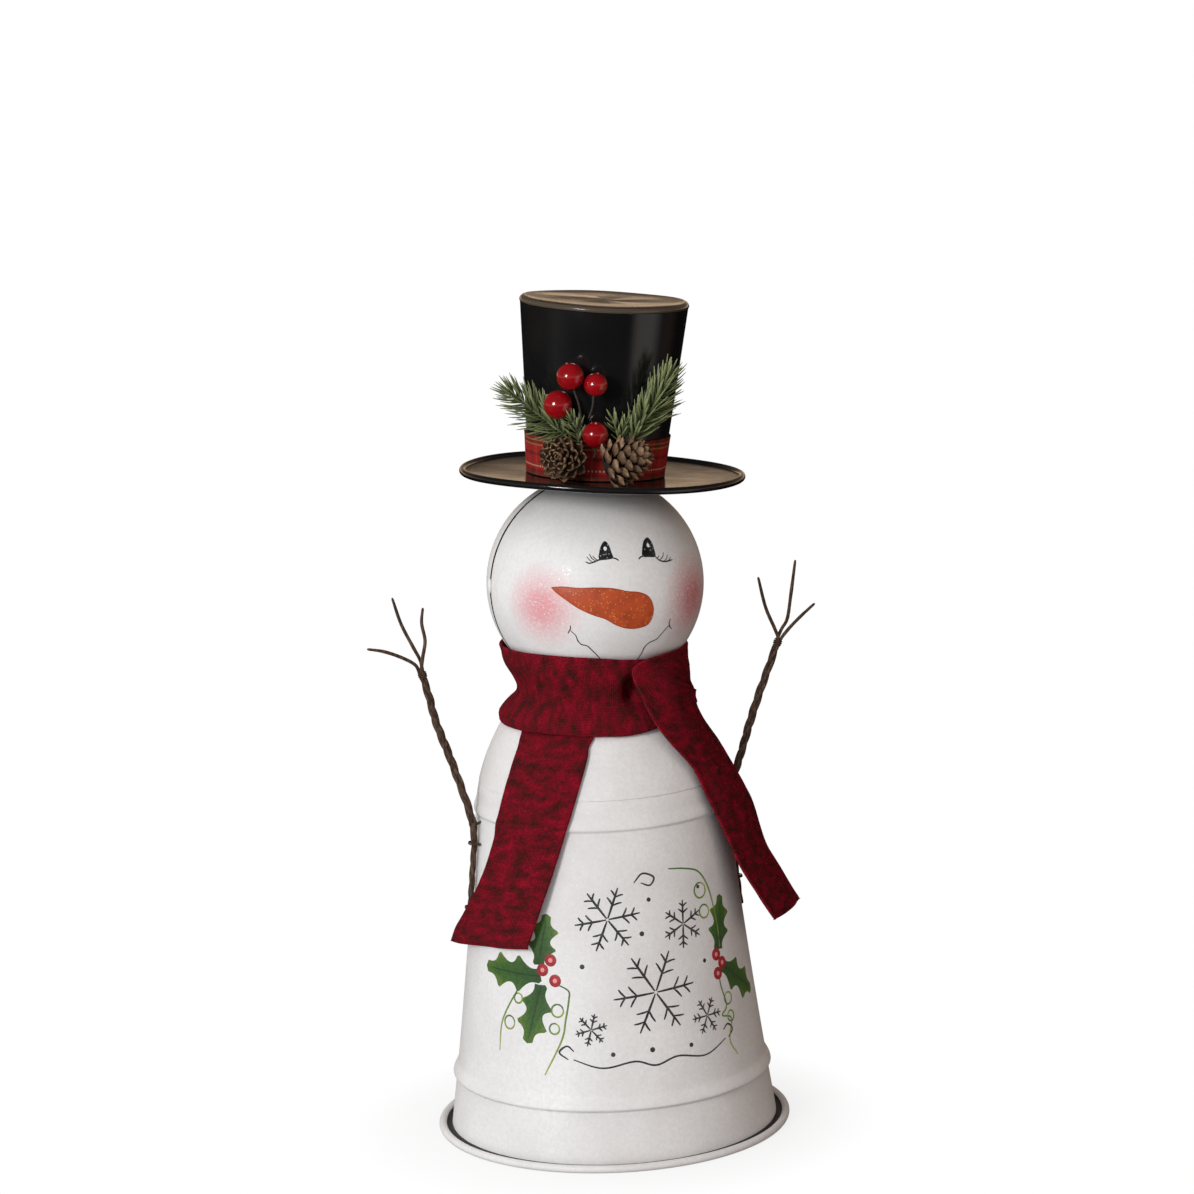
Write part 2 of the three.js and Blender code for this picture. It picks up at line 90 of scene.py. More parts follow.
FOOT_RADIUS, WALL_TAPER, WALL_FLARE = 101.6, 0.145, 0.000125
SHOULDER_Z, SHOULDER_CURVE = 205, 0.0052
WALL_TOP_Z, CAP_SKIRT_Z, CAP_CORNER_Z, CAP_TOP_Z = 225.5, 221, 255, 264.5
SHEET, GAP, LAP_STEP = 0.5, 0.3, 0.6
LOWER_BEAD, UPPER_BEAD = (36.5, 1.4, 5.5), (204, 0.8, 5)
RIM_RADIUS, RIM_ROLL = 109.4, 2.4
HEAD_RADIUS, SEAM_GAP = 66.3, 2.2
HAT_TILT = math.radians(4.5)
BRIM_RADIUS, BRIM_ROLL, BRIM_SHIFT = 87, 2.1, 2.2
CROWN_FOOT, CROWN_TOP, CROWN_HEIGHT, CROWN_LEAN = 40.8, 51.3, 106.6, 2
BAND_HEIGHT, BAND_THICK = 24, 0.8
BRIM_UNDER = HEAD_RADIUS + GAP
BRIM_TOP = BRIM_UNDER + SHEET
TWIST_RADIUS, TWIST_PITCH = 1.3, 36
STEM_OFFSET, STEM_FOOT_Z, STEM_BEND_Z = 3.1, 128, 193
WIRE_RADIUS, TIE_RADIUS = 1.34, 0.42
SCARF_WIDTH, SCARF_THICK = 50, 2.2
CAP_HOLE, BRIM_HOLE = 3.4, 3.2

head_low, head_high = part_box("head_front_shell")
HEAD_CENTRE = np.array([(head_low.x + head_high.x) / 2, 0, (head_low.z + head_high.z) / 2]) / MM


# Curves and surfaces.


def smoothstep(x, low, high):
    t = np.clip((np.asarray(x, float) - low) / (high - low), 0, 1)
    return t * t * (3 - 2 * t)


def lerp(a, b, t):
    return a + (b - a) * t


def unit(v):
    v = np.asarray(v, float)
    return v / np.maximum(np.linalg.norm(v, axis=-1, keepdims=True), 1e-12)


def square_to(axis, hint):
    """Two directions square to an axis and to each other, the first one square to the hint too."""
    side = unit(np.cross(axis, hint))
    return side, np.cross(axis, side)


def spline(points, count, closed=False):
    """A smooth curve through the given points."""
    p = np.asarray(points, float)
    if closed:
        ends = np.vstack([p[-1], p, p[:2]])
        p = np.vstack([p, p[:1]])
    else:
        ends = np.vstack([2 * p[0] - p[1], p, 2 * p[-1] - p[-2]])
    t = np.linspace(0, len(p) - 1, count)
    i = np.minimum(t.astype(int), len(p) - 2)
    f = (t - i)[:, None]
    a, b, c, d = (ends[i + k] for k in range(4))
    return b + f * (c - a + f * (2 * a - 5 * b + 4 * c - d + f * (3 * b - a - 3 * c + d))) / 2


def resample(rows, travel, at):
    """Rows of values read off at the given distances, where travel is each row's own distance."""
    return np.column_stack([np.interp(at, travel, column) for column in rows.T])


def distance_along(steps):
    return np.concatenate([[0], np.cumsum(steps)])


def smooth(points, count, closed=False):
    """Evenly spaced points on a smooth curve through the given ones."""
    dense = spline(points, 24 * (len(points) + closed), closed)
    run = distance_along(np.linalg.norm(np.diff(dense, axis=0), axis=1))
    return resample(dense, run, np.linspace(0, run[-1], count + closed)[:count])


def body_radius(z):
    """Outside radius of the body at a height, without its beads."""
    shoulder = np.maximum(0, z - SHOULDER_Z)
    return FOOT_RADIUS - WALL_TAPER * z + WALL_FLARE * z * z - SHOULDER_CURVE * shoulder * shoulder


def wall_profile(heights, lift=0.0):
    """[radius, height] points on the body's outside."""
    return [[body_radius(z) + lift, z] for z in heights]


def polar(angle, radius, z):
    """A point at an angle from the front, a distance from the body's axis and a height."""
    a = np.radians(angle)
    return np.stack(np.broadcast_arrays(radius * np.sin(a), -radius * np.cos(a), z), -1).astype(float)


def on_body(angle, z, lift=0.0):
    return polar(angle, body_radius(z) + lift, z)


def on_head(longitude, latitude, lift=0.0):
    a, b = np.radians(longitude), np.radians(latitude)
    out = np.stack(np.broadcast_arrays(np.sin(a) * np.cos(b), -np.cos(a) * np.cos(b), np.sin(b)), -1)
    return HEAD_CENTRE + out * (HEAD_RADIUS + lift)


def in_hat(points):
    """From the hat's own frame, with its origin at the head's centre, to the figure's."""
    p = np.asarray(points, float)
    c, s = math.cos(HAT_TILT), math.sin(HAT_TILT)
    turned = np.stack([p[..., 0] * c + p[..., 2] * s, p[..., 1], p[..., 2] * c - p[..., 0] * s], -1)
    return HEAD_CENTRE + turned


def crown_radius(z):
    return lerp(CROWN_FOOT, CROWN_TOP, (z - BRIM_TOP) / CROWN_HEIGHT)


def arc(radius, z, size, start, end, steps):
    """[radius, height] points on an arc, angles in degrees from the +radius direction."""
    a = np.radians(np.linspace(start, end, steps + 1))
    return np.column_stack([radius + size * np.cos(a), z + size * np.sin(a)]).tolist()


# Meshes.

# Paint's usual height over its surface, its height at a patch's edge, and how far its underside sinks in.
PAINT_LIFT, THIN_EDGE, PAINT_ROOT = 0.16, 0.03, 0.12


class Shape:
    """Closed parts gathered into one mesh, with a UV pair for each face corner."""

    def __init__(self):
        self.points, self.faces, self.uvs = [], [], []

    def add(self, points, faces, uvs):
        start = len(self.points)
        self.points.extend(np.asarray(points, float).reshape(-1, 3).tolist())
        self.faces.extend([tuple(start + k for k in face) for face in faces])
        self.uvs.extend(uvs)
        return self

    def loft(self, rings, wrap=False, uv=None, flat_caps=True):
        """Joins rings of points, each a closed loop. flat_caps=False fills each end across a thin loop."""
        rings = np.asarray(rings, float)
        n, m = rings.shape[:2]
        uv = uv or (lambda i, j: (0.0, 0.0))
        faces, uvs = [], []
        for i in range(n if wrap else n - 1):
            for j in range(m):
                corners = ((i, j), (i + 1, j), (i + 1, j + 1), (i, j + 1))
                faces.append([(a % n) * m + b % m for a, b in corners])
                uvs.append([uv(a, b) for a, b in corners])
        for end in () if wrap else (0, n - 1):
            if flat_caps:
                caps = [list(range(m))]
            else:
                caps = [(j, j + 1, m - 2 - j, m - 1 - j) for j in range(m // 2 - 1)]
            for cap in caps:
                faces.append([end * m + j for j in cap])
                uvs.append([uv(end, j) for j in cap])
        return self.add(rings, faces, uvs)

    def turn(self, outline, sides, place=lambda p: p, uv=None):
        """Turns a closed outline of [radius, height] points about the Z axis."""
        o = np.asarray(outline, float)
        angles = np.arange(sides) * 360 / sides
        return self.loft(place(polar(angles[:, None], o[None, :, 0], o[None, :, 1])), wrap=True, uv=uv)

    def tube(self, path, radii, sides=8, flatten=1.0, tone=0.0):
        """A round bar along a path. Its UV holds the tone, and how far along it is from 0 to 1."""
        path = np.asarray(path, float)
        radii = np.broadcast_to(np.asarray(radii, float), len(path))
        tangents = unit(np.gradient(path, axis=0))
        side = unit(np.cross(tangents[0], [0.3, 0.1, 0.95]))
        rings = []
        for point, tangent, radius in zip(path, tangents, radii):
            side = unit(side - tangent * (side @ tangent))
            up = np.cross(tangent, side) * flatten
            a = np.arange(sides) * 2 * math.pi / sides
            rings.append(point + radius * (np.cos(a)[:, None] * side + np.sin(a)[:, None] * up))
        return self.loft(rings, uv=lambda i, j: (tone, i / (len(path) - 1)))

    def stroke(self, surface, path, width, count=0, lift=PAINT_LIFT, taper=0.6):
        """A brush stroke of paint on a surface, along a path of the surface's two coordinates."""
        count = count or 10 * len(path)
        a, b = smooth(path, count).T
        centre = surface(a, b)
        normal = unit(surface(a, b, 1.0) - centre)
        across = unit(np.cross(normal, np.gradient(centre, axis=0)))
        t = np.linspace(0, 1, count)
        press = 1 - taper + taper * np.sqrt(np.clip(np.sin(math.pi * np.clip(t, 0.02, 0.98)), 0, 1))
        half = (width / 2 * press)[:, None]
        section = [(-1, 0.02), (-0.55, lift), (0.55, lift), (1, 0.02), (0, -PAINT_ROOT)]
        rings = np.stack([centre + across * half * s + normal * h for s, h in section], 1)
        return self.loft(rings, uv=lambda i, j: (j / len(section), i / (count - 1)))

    def fill(self, surface, outline, spacing, lift=PAINT_LIFT, uv=None):
        """A patch of paint on a surface, inside a closed outline of the surface's two coordinates."""
        outline = np.asarray(outline, float)
        low, high = outline.min(0), outline.max(0)
        columns, rows = (np.arange(low[k], high[k], spacing[k]) for k in (0, 1))
        grid = np.stack(np.meshgrid(columns, rows), -1).reshape(-1, 2)
        near = np.abs(grid[:, None] - outline[None]) / np.asarray(spacing)
        grid = grid[(np.linalg.norm(near, axis=2).min(1) > 0.55) & inside(grid, outline)]
        points = [Vector(p) for p in np.vstack([outline, grid])]
        loop = list(range(len(outline)))
        flat, _, faces, _, _, _ = delaunay_2d_cdt(points, [], [loop], 1, 1e-7)
        at = np.array([tuple(p) for p in flat])
        count = len(at)
        edge_use = {}
        for face in faces:
            for a, b in zip(face, [*face[1:], face[0]]):
                edge_use.setdefault(frozenset((a, b)), []).append((a, b))
        border = [use[0] for use in edge_use.values() if len(use) == 1]
        heights = np.full(count, lift)
        heights[[k for edge in border for k in edge]] = THIN_EDGE
        base = surface(*at.T)
        top = base + (surface(*at.T, 1.0) - base) * heights[:, None]
        under = surface(*at.T, -PAINT_ROOT)
        sides = [(b, a, a + count, b + count) for a, b in border]
        all_faces = [*faces, *([k + count for k in reversed(f)] for f in faces), *sides]
        span = np.maximum(high - low, 1e-9)
        uv = uv or (lambda p: tuple((p - low) / span))
        pairs = [uv(p) for p in at]
        uvs = [[pairs[k % count] for k in face] for face in all_faces]
        return self.add(np.vstack([top, under]), all_faces, uvs)

    def build(self, name, material, slot="white_paint", body="figure", replaces=(), sharp=35):
        mesh = bpy.data.meshes.new(name)
        mesh.from_pydata([[c * MM for c in p] for p in self.points], [], self.faces)
        layer = mesh.uv_layers.new(name="UVMap")
        corners = [pair for face in self.uvs for pair in face]
        layer.data.foreach_set("uv", np.array(corners, np.float32).ravel())
        bm = bmesh.new()
        bm.from_mesh(mesh)
        bmesh.ops.remove_doubles(bm, verts=bm.verts, dist=2e-7)
        bmesh.ops.dissolve_degenerate(bm, dist=1e-8, edges=bm.edges)
        bmesh.ops.recalc_face_normals(bm, faces=bm.faces)
        bm.to_mesh(mesh)
        bm.free()
        mesh.shade_smooth()
        mesh.set_sharp_from_angle(angle=math.radians(sharp))
        mesh.materials.append(material)
        piece = bpy.data.objects.new(name, mesh)
        scene.collection.objects.link(piece)
        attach(piece, body)
        if replaces:
            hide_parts(*replaces)
        return piece


def inside(points, outline):
    """Which points lie inside a closed outline."""
    x, y = points[:, 0], points[:, 1]
    result = np.zeros(len(points), bool)
    for (x1, y1), (x2, y2) in zip(outline, np.roll(outline, -1, axis=0)):
        crosses = (y1 > y) != (y2 > y)
        with np.errstate(divide="ignore", invalid="ignore"):
            result ^= crosses & (x < x1 + (x2 - x1) * (y - y1) / (y2 - y1))
    return result


# Materials.


class Nodes:
    """Short calls that build the nodes of a material or a world."""

    def __init__(self, tree):
        self.tree = tree
        self.link = tree.links.new

    def connect(self, socket, value):
        if isinstance(value, bpy.types.NodeSocket):
            self.link(value, socket)
        else:
            socket.default_value = value

    def node(self, kind, inputs=None, output=0, **settings):
        made = self.tree.nodes.new("ShaderNode" + kind)
        for key, value in settings.items():
            setattr(made, key, value)
        for key, value in (inputs or {}).items():
            self.connect(made.inputs[key], value)
        return made.outputs[output]

    def math(self, operation, a, b=0.0, c=0.0):
        return self.node("Math", {0: a, 1: b, 2: c}, operation=operation)

    def times(self, a, b):
        return self.math("MULTIPLY", a, b)

    def share(self, value):
        """From -1..1 to 0..1."""
        return self.math("MULTIPLY_ADD", value, 0.5, 0.5)

    def axis(self, vector, k):
        return self.node("SeparateXYZ", {0: vector}, output=k)

    def measure(self, operation, vector, other=(0, 0, 0)):
        """One number from a vector, or from two."""
        return self.node("VectorMath", {0: vector, 1: other}, output="Value", operation=operation)

    def ramp(self, factor, stops, interpolation="LINEAR"):
        made = self.tree.nodes.new("ShaderNodeValToRGB")
        made.color_ramp.interpolation = interpolation
        elements = made.color_ramp.elements
        while len(elements) < len(stops):
            elements.new(0.5)
        for element, (position, color) in zip(elements, stops):
            element.position = position
            element.color = (*color, 1) if hasattr(color, "__len__") else (color, color, color, 1)
        self.link(factor, made.inputs["Fac"])
        return made.outputs["Color"]

    def mix(self, factor, a, b, blend="MIX"):
        made = self.tree.nodes.new("ShaderNodeMix")
        made.data_type, made.blend_type = "RGBA", blend
        for k, value in ((0, factor), (6, a), (7, b)):
            self.connect(made.inputs[k], (*value, 1) if isinstance(value, (tuple, list)) else value)
        return made.outputs[2]


class Paint(Nodes):
    """A material. Its object coordinates are in metres."""

    def __init__(self, name, color=(0.8, 0.8, 0.8), roughness=0.5, **settings):
        self.material = bpy.data.materials.new(name)
        self.material.use_nodes = True
        super().__init__(self.material.node_tree)
        self.shader = self.tree.nodes["Principled BSDF"]
        self.shader.inputs["Base Color"].default_value = (*color, 1)
        self.shader.inputs["Roughness"].default_value = roughness
        self.set(**settings)
        coordinates = self.tree.nodes.new("ShaderNodeTexCoord")
        self.object, self.uv = coordinates.outputs["Object"], coordinates.outputs["UV"]

    def set(self, **sockets):
        for label, value in sockets.items():
            self.connect(self.shader.inputs[label.replace("_", " ")], value)
        return self.material

    def scaled(self, vector, factors):
        return self.node("VectorMath", {0: vector, 1: factors}, operation="MULTIPLY")

    def noise(self, scale, detail=3.0, vector=None, roughness=0.5):
        sockets = {"Vector": vector or self.object, "Scale": scale, "Detail": detail, "Roughness": roughness}
        return self.node("TexNoise", sockets, output="Fac")

    def flakes(self, scale, channel):
        """A random number for each tiny glitter flake."""
        cells = self.node("TexVoronoi", {"Vector": self.object, "Scale": scale}, output="Color")
        return self.node("SeparateColor", {0: cells}, output=channel)

    def bump(self, height, distance, strength=1.0, over=None):
        inputs = {"Height": height, "Distance": distance, "Strength": strength}
        if over:
            inputs["Normal"] = over
        return self.node("Bump", inputs)


def glitter_paint(name, dark, light, blushes=(), crease_shade_reach=0.0, seam=0.0):
    """Sponged white paint with fine glitter in it, and soft round blushes of pink.

    Two marks are painted shade, where asked: a dark band in the crease behind the rolled rim, out to a given
    radius in metres, and a dark line of a given half width in metres along the head's seam gap.
    """
    m = Paint(name, roughness=0.5, Specular_IOR_Level=0.45)
    color = m.mix(m.ramp(m.noise(22, 6), [(0.32, 0.0), (0.7, 1.0)]), dark, light)
    mottle = m.ramp(m.noise(420, 3), [(0.35, 0.35), (0.6, 0.0)])
    color = m.mix(mottle, color, [c * 0.9 for c in dark])
    pick, tint = m.flakes(1700.0, 0), m.flakes(1700.0, 2)
    for centre, reach, strength, pink in blushes:
        ragged = m.math("ADD", m.measure("DISTANCE", m.object, centre), m.times(m.noise(520, 6), 0.009))
        fade = [(0.0, strength), (0.35, strength * 0.85), (0.7, strength * 0.35), (1.0, 0.0)]
        soft = m.ramp(m.math("DIVIDE", ragged, reach), fade)
        color = m.mix(m.times(soft, m.ramp(pick, [(0.8, 1.0), (0.9, 0.45)])), color, pink)
    sparkle = m.ramp(pick, [(0.955, 0.0), (0.975, 1.0)])
    glints = m.ramp(tint, [(0.2, (1, 0.93, 0.9)), (0.8, (0.95, 0.97, 1))])
    color = m.mix(m.times(sparkle, 0.5), color, glints)
    # Painted shade: a dark line along the seam gap between the head's two halves, ragged at its edges.
    if seam:
        ragged = m.math("ADD", m.math("ABSOLUTE", m.axis(m.object, 1)), m.times(m.noise(150, 3), 0.0006))
        color = m.mix(m.math("LESS_THAN", ragged, seam), color, (0.012, 0.012, 0.013))
    # Painted shade in the crease between the wall and its rolled rim, ragged at its edge.
    if crease_shade_reach:
        low = m.math("LESS_THAN", m.axis(m.object, 2), 0.0033)
        reach = m.measure("LENGTH", m.scaled(m.object, (1, 1, 0)))
        edge = m.math("ADD", reach, m.times(m.noise(240, 4), 0.0016))
        color = m.mix(m.times(low, m.math("LESS_THAN", edge, crease_shade_reach)), color, (0.09, 0.085, 0.08))
    grain = m.bump(pick, 0.0001, 0.4)
    relief = m.bump(m.noise(90, 4), 0.0008, 0.35, over=grain)
    return m.set(Base_Color=color, Roughness=m.ramp(sparkle, [(0, 0.52), (1, 0.18)]), Normal=relief)


def enamel(name, base):
    """Gloss enamel with a little dust, over sheet metal that isn't quite flat."""
    m = Paint(name, base, 0.1, Coat_Weight=0.3, Coat_Roughness=0.04)
    dust = m.ramp(m.noise(900, 2), [(0.66, 0.0), (0.72, 0.12)])
    wavy = m.bump(m.noise(26, 2), 0.004, 0.16)
    peel = m.bump(m.noise(600, 2), 0.0001, 0.25, over=wavy)
    smear = m.ramp(m.noise(30, 5), [(0.3, 0.15), (0.75, 0.27)])
    return m.set(Base_Color=m.mix(dust, base, (0.09, 0.085, 0.08)), Roughness=smear, Normal=peel)


def knit():
    """Stockinette in a red and black marled yarn. UV is in metres, along the strip and across it."""
    m = Paint("marled_knit", roughness=0.95, Specular_IOR_Level=0.06)
    wale, course = 0.0018, 0.0013
    slant = m.math("DIVIDE", m.math("PINGPONG", m.axis(m.uv, 1), wale / 2), wale / 2)
    phase = m.math("ADD", m.math("DIVIDE", m.axis(m.uv, 0), course), m.times(slant, 0.8))
    loop = m.share(m.math("SINE", m.times(phase, 2 * math.pi)))
    ridge = m.math("SINE", m.times(slant, math.pi))
    height = m.times(loop, m.math("POWER", m.math("MAXIMUM", ridge, 0.0), 0.6))
    strands = m.noise(1.0, 5, m.scaled(m.uv, (620, 480, 1)), 0.7)
    patches = m.noise(1.0, 2, m.scaled(m.uv, (175, 95, 1)))
    tones = [(0.5, (0.05, 0.018, 0.015)), (0.65, (0.16, 0.015, 0.018)), (0.78, (0.32, 0.01, 0.025)),
             (0.94, (0.54, 0.012, 0.038))]
    color = m.ramp(m.math("ADD", m.times(strands, 0.75), m.times(patches, 0.7)), tones)
    # Painted shade: darker in the hollows of each loop and between the columns of stitches.
    for shade in (m.ramp(height, [(0.0, 0.7), (0.6, 1.0)]), m.ramp(ridge, [(0.0, 0.35), (0.75, 1.0)])):
        color = m.mix(1.0, color, shade, "MULTIPLY")
    fuzz = m.bump(m.noise(2600, 2), 0.0002, 0.5, over=m.bump(height, 0.0007, 0.9))
    return m.set(Base_Color=color, Normal=fuzz)


def ribbon():
    """A woven plaid ribbon. UV is in millimetres, round the crown and up the ribbon."""
    m = Paint("plaid_ribbon", roughness=0.8, Specular_IOR_Level=0.12)
    u, v = m.axis(m.uv, 0), m.axis(m.uv, 1)
    red, deep, green = (0.38, 0.022, 0.02), (0.17, 0.01, 0.012), (0.025, 0.05, 0.025)
    gold, brown, cream = (0.42, 0.21, 0.07), (0.1, 0.032, 0.018), (0.7, 0.58, 0.4)
    repeat, stitch_length, thread = 21.0, 2.4, 0.55

    def bands(value, span, stops):
        return m.ramp(m.math("DIVIDE", value, span), stops, "CONSTANT")

    rows = [(0.0, green), (0.07, deep), (0.16, red), (0.5, deep), (0.58, red), (0.76, gold)]
    rows += [(0.8, brown), (0.88, gold), (0.91, brown)]
    columns = [(0.0, red), (0.3, deep), (0.36, green), (0.44, deep), (0.5, red), (0.68, gold)]
    columns += [(0.7, red), (0.84, brown), (0.88, red)]
    across = bands(v, BAND_HEIGHT, rows)
    along = bands(m.math("MODULO", u, repeat), repeat, columns)
    warp, weft = (m.math("SINE", m.times(way, 2 * math.pi / thread)) for way in (u, v))
    weave = m.share(m.times(warp, weft))
    color = m.mix(m.math("MULTIPLY_ADD", weave, 0.5, 0.15), across, along)
    row = bands(v, BAND_HEIGHT, [(0.0, 0.0), (0.22, 1.0), (0.26, 0.0)])
    stitch = bands(m.math("MODULO", u, stitch_length), stitch_length, [(0.0, 1.0), (0.5, 0.0)])
    color = m.mix(m.times(m.times(row, stitch), 0.8), color, cream)
    color = m.mix(m.ramp(m.noise(700, 3), [(0.4, 0.0), (0.75, 0.35)]), color, deep)
    return m.set(Base_Color=color, Normal=m.bump(weave, 0.0002, 0.8))


def bark():
    """Brown paper wound round wire."""
    m = Paint("paper_wrap", roughness=0.85, Specular_IOR_Level=0.1)
    streaks = m.noise(1.0, 5, m.scaled(m.object, (900, 900, 160)), 0.6)
    tones = [(0.3, (0.026, 0.014, 0.009)), (0.5, (0.075, 0.046, 0.031)), (0.72, (0.17, 0.115, 0.08))]
    turns = 34
    wound = m.math("SINE", m.times(m.math("ADD", m.axis(m.uv, 1), m.axis(m.uv, 0)), 2 * math.pi * turns))
    relief = m.bump(streaks, 0.0004, 0.6, over=m.bump(wound, 0.0003, 0.35))
    return m.set(Base_Color=m.ramp(streaks, tones), Normal=relief)


def along_ramp(name, stops, roughness=0.6, speckle=0.25):
    """A colour that runs along each UV island's second axis, shifted by its first, with fine variation."""
    m = Paint(name, roughness=roughness)
    shift = m.times(m.math("SUBTRACT", m.axis(m.uv, 0), 0.5), 0.22)
    color = m.ramp(m.math("ADD", m.axis(m.uv, 1), shift), stops)
    dark = m.ramp(m.noise(520, 4), [(0.35, speckle), (0.62, 0.0)])
    color = m.mix(dark, color, [c * 0.35 for c in stops[0][1]])
    return m.set(Base_Color=color, Normal=m.bump(m.noise(1300, 3), 0.00025, 0.5))


GLINT = (0.8, 0.82, 0.85)


def brushed_paint(name, color, other, roughness=0.5, sparkle=0.0, glint=GLINT, scale=160.0, **settings):
    """Hand-laid paint that varies a little between two colours, with glitter flakes where asked."""
    m = Paint(name, roughness=roughness, **settings)
    base = m.mix(m.ramp(m.noise(scale, 4), [(0.35, 0.0), (0.7, 1.0)]), color, other)
    if sparkle:
        shine = m.ramp(m.flakes(1500.0, 1), [(0.945, 0.0), (0.965, 1.0)])
        base = m.mix(m.times(shine, sparkle), base, glint)
    return m.set(Base_Color=base, Normal=m.bump(m.noise(1100, 3), 0.0002, 0.4))


def steel():
    m = Paint("bare_steel", roughness=0.35, Metallic=1.0)
    scuffs = m.noise(1.0, 4, m.scaled(m.object, (200, 200, 2400)))
    color = m.ramp(scuffs, [(0.3, (0.3, 0.3, 0.31)), (0.7, (0.5, 0.5, 0.52))])
    return m.set(Base_Color=color, Roughness=m.ramp(scuffs, [(0.3, 0.28), (0.7, 0.45)]))


# The right cheek's pink is darker than the left's: painted shade, on the side turned from the light.
PINK, PINK_IN_PAINTED_SHADE = (0.74, 0.26, 0.29), (0.62, 0.17, 0.19)
BLUSHES = [(tuple(on_head(-46, -3) * MM), 0.033, 0.95, PINK), (tuple(on_head(46, -5) * MM), 0.035, 1.0, PINK_IN_PAINTED_SHADE)]
DULL, CLEAN = (0.74, 0.72, 0.715), (0.84, 0.83, 0.83)
WHITE = glitter_paint("white_glitter_paint", DULL, CLEAN)
# The wall's paint carries painted shade in the crease behind its rolled rim.
WALL = glitter_paint("white_wall_paint", DULL, CLEAN, crease_shade_reach=0.1058)
# The face's paint carries its blushes and painted shade along the seam gap.
FACE = glitter_paint("white_face_paint", (0.76, 0.745, 0.74), (0.85, 0.84, 0.84), BLUSHES, seam=0.00172)
ENAMEL = enamel("black_enamel", (0.007, 0.007, 0.0075))
# The lid's enamel is tinted brown: a painted tan reflection on its flat top.
LID_ENAMEL_PAINTED_REFLECTION = enamel("black_enamel_painted_tan_reflection", (0.085, 0.063, 0.045))
KNIT, RIBBON, BARK, STEEL = knit(), ribbon(), bark(), steel()
SEAM_DARK = brushed_paint("seam_shadow", (0.012, 0.011, 0.011), (0.03, 0.027, 0.025), 0.7)
CHARCOAL = brushed_paint("charcoal_paint", (0.018, 0.019, 0.022), (0.06, 0.062, 0.067))
EYE_BLACK = brushed_paint("eye_black", (0.008, 0.008, 0.01), (0.03, 0.03, 0.034), 0.3, 0.35)
EYE_WHITE = brushed_paint("eye_white", (0.9, 0.9, 0.9), (0.8, 0.8, 0.8), 0.3)
ORANGE = brushed_paint("carrot_orange", (0.52, 0.072, 0.012), (0.38, 0.05, 0.01), 0.5, 0.4, (0.95, 0.5, 0.14))
ORANGE_EDGE = brushed_paint("carrot_edge", (0.45, 0.06, 0.012), (0.36, 0.05, 0.012))
LEAF_TONES = [(0.0, (0.025, 0.075, 0.022)), (0.5, (0.055, 0.15, 0.028)), (0.95, (0.2, 0.29, 0.045))]
LEAF = along_ramp("holly_green", LEAF_TONES, 0.55, 0.35)
LEAF_VEIN = brushed_paint("holly_vein", (0.02, 0.06, 0.02), (0.03, 0.08, 0.03))
VINE_TONES = [(0.0, (0.06, 0.15, 0.04)), (0.5, (0.2, 0.31, 0.055)), (1.0, (0.38, 0.43, 0.08))]
VINE = along_ramp("vine_green", VINE_TONES, 0.55, 0.2)
DOT_RED = brushed_paint("berry_dot_red", (0.4, 0.02, 0.028), (0.27, 0.012, 0.018), 0.45)
DOT_PINK = brushed_paint("berry_dot_pink", (0.78, 0.3, 0.3), (0.7, 0.22, 0.24), 0.4)
SCALE_TONES = [(0.0, (0.01, 0.006, 0.004)), (0.45, (0.05, 0.027, 0.017)), (0.8, (0.15, 0.08, 0.042)),
               (0.93, (0.21, 0.12, 0.063)), (1.0, (0.36, 0.22, 0.125))]
SCALE_BROWN = along_ramp("cone_scale", SCALE_TONES, 0.8, 0.4)
NEEDLE_TONES = [(0.0, (0.08, 0.1, 0.035)), (0.5, (0.16, 0.2, 0.075)), (1.0, (0.33, 0.36, 0.17))]
NEEDLE = along_ramp("evergreen_needle", NEEDLE_TONES, 0.6, 0.3)
STEM = brushed_paint("dark_stem", (0.03, 0.022, 0.018), (0.05, 0.05, 0.03), 0.7)
LACQUER, LACQUER_DEEP = (0.3, 0.002, 0.006), (0.24, 0.0015, 0.005)
BERRY = brushed_paint("berry_lacquer", LACQUER, LACQUER_DEEP, 0.16, scale=60.0, Coat_Weight=0.6)
BERRY_NUB = brushed_paint("berry_nub", (0.2, 0.12, 0.07), (0.4, 0.3, 0.2), 0.6)


# Body: the wall, its seam and the domed cap.


def add_wall():
    def bead(z, height, half):
        """A pressed bead that rises slowly from above and falls quickly below."""
        above, below, swell = 1.5 * half, 0.5 * half, 1.7 * height
        points = []
        for s in (*np.linspace(1, 0, 12), *np.linspace(-0.12, -1, 10)):
            at = z + s * (above if s > 0 else below)
            points.append([body_radius(at) + swell * math.cos(math.pi / 2 * s) ** 2, at])
        return points

    roll = RIM_RADIUS - RIM_ROLL
    inner = wall_profile((3, 20, 60, 110, 160, 200, 212, 219), -SHEET)
    inner += wall_profile((CAP_SKIRT_Z, WALL_TOP_Z), -SHEET - LAP_STEP)
    outer = wall_profile((WALL_TOP_Z, CAP_SKIRT_Z), -LAP_STEP) + wall_profile((CAP_SKIRT_Z - 1.5, 216, 213))
    outer += bead(*UPPER_BEAD) + wall_profile(np.linspace(196, 48, 22)) + bead(*LOWER_BEAD)
    outer += wall_profile((28, 20, 12, 8, 5, 3.4))
    outer += [[FOOT_RADIUS - 0.3, 2.2], [FOOT_RADIUS + 0.4, 1.5], [FOOT_RADIUS + 1.6, 1.2], [roll - 3.2, 1.3]]
    outer += arc(roll, RIM_ROLL + 0.05, RIM_ROLL, 205, -90, 26)
    outer += [[roll - 1.6, 0.1], [FOOT_RADIUS + 1.2, 0.6]]
    Shape().turn(outer + inner, 256).build("tin_body_wall", WALL, replaces=["body_wall"])


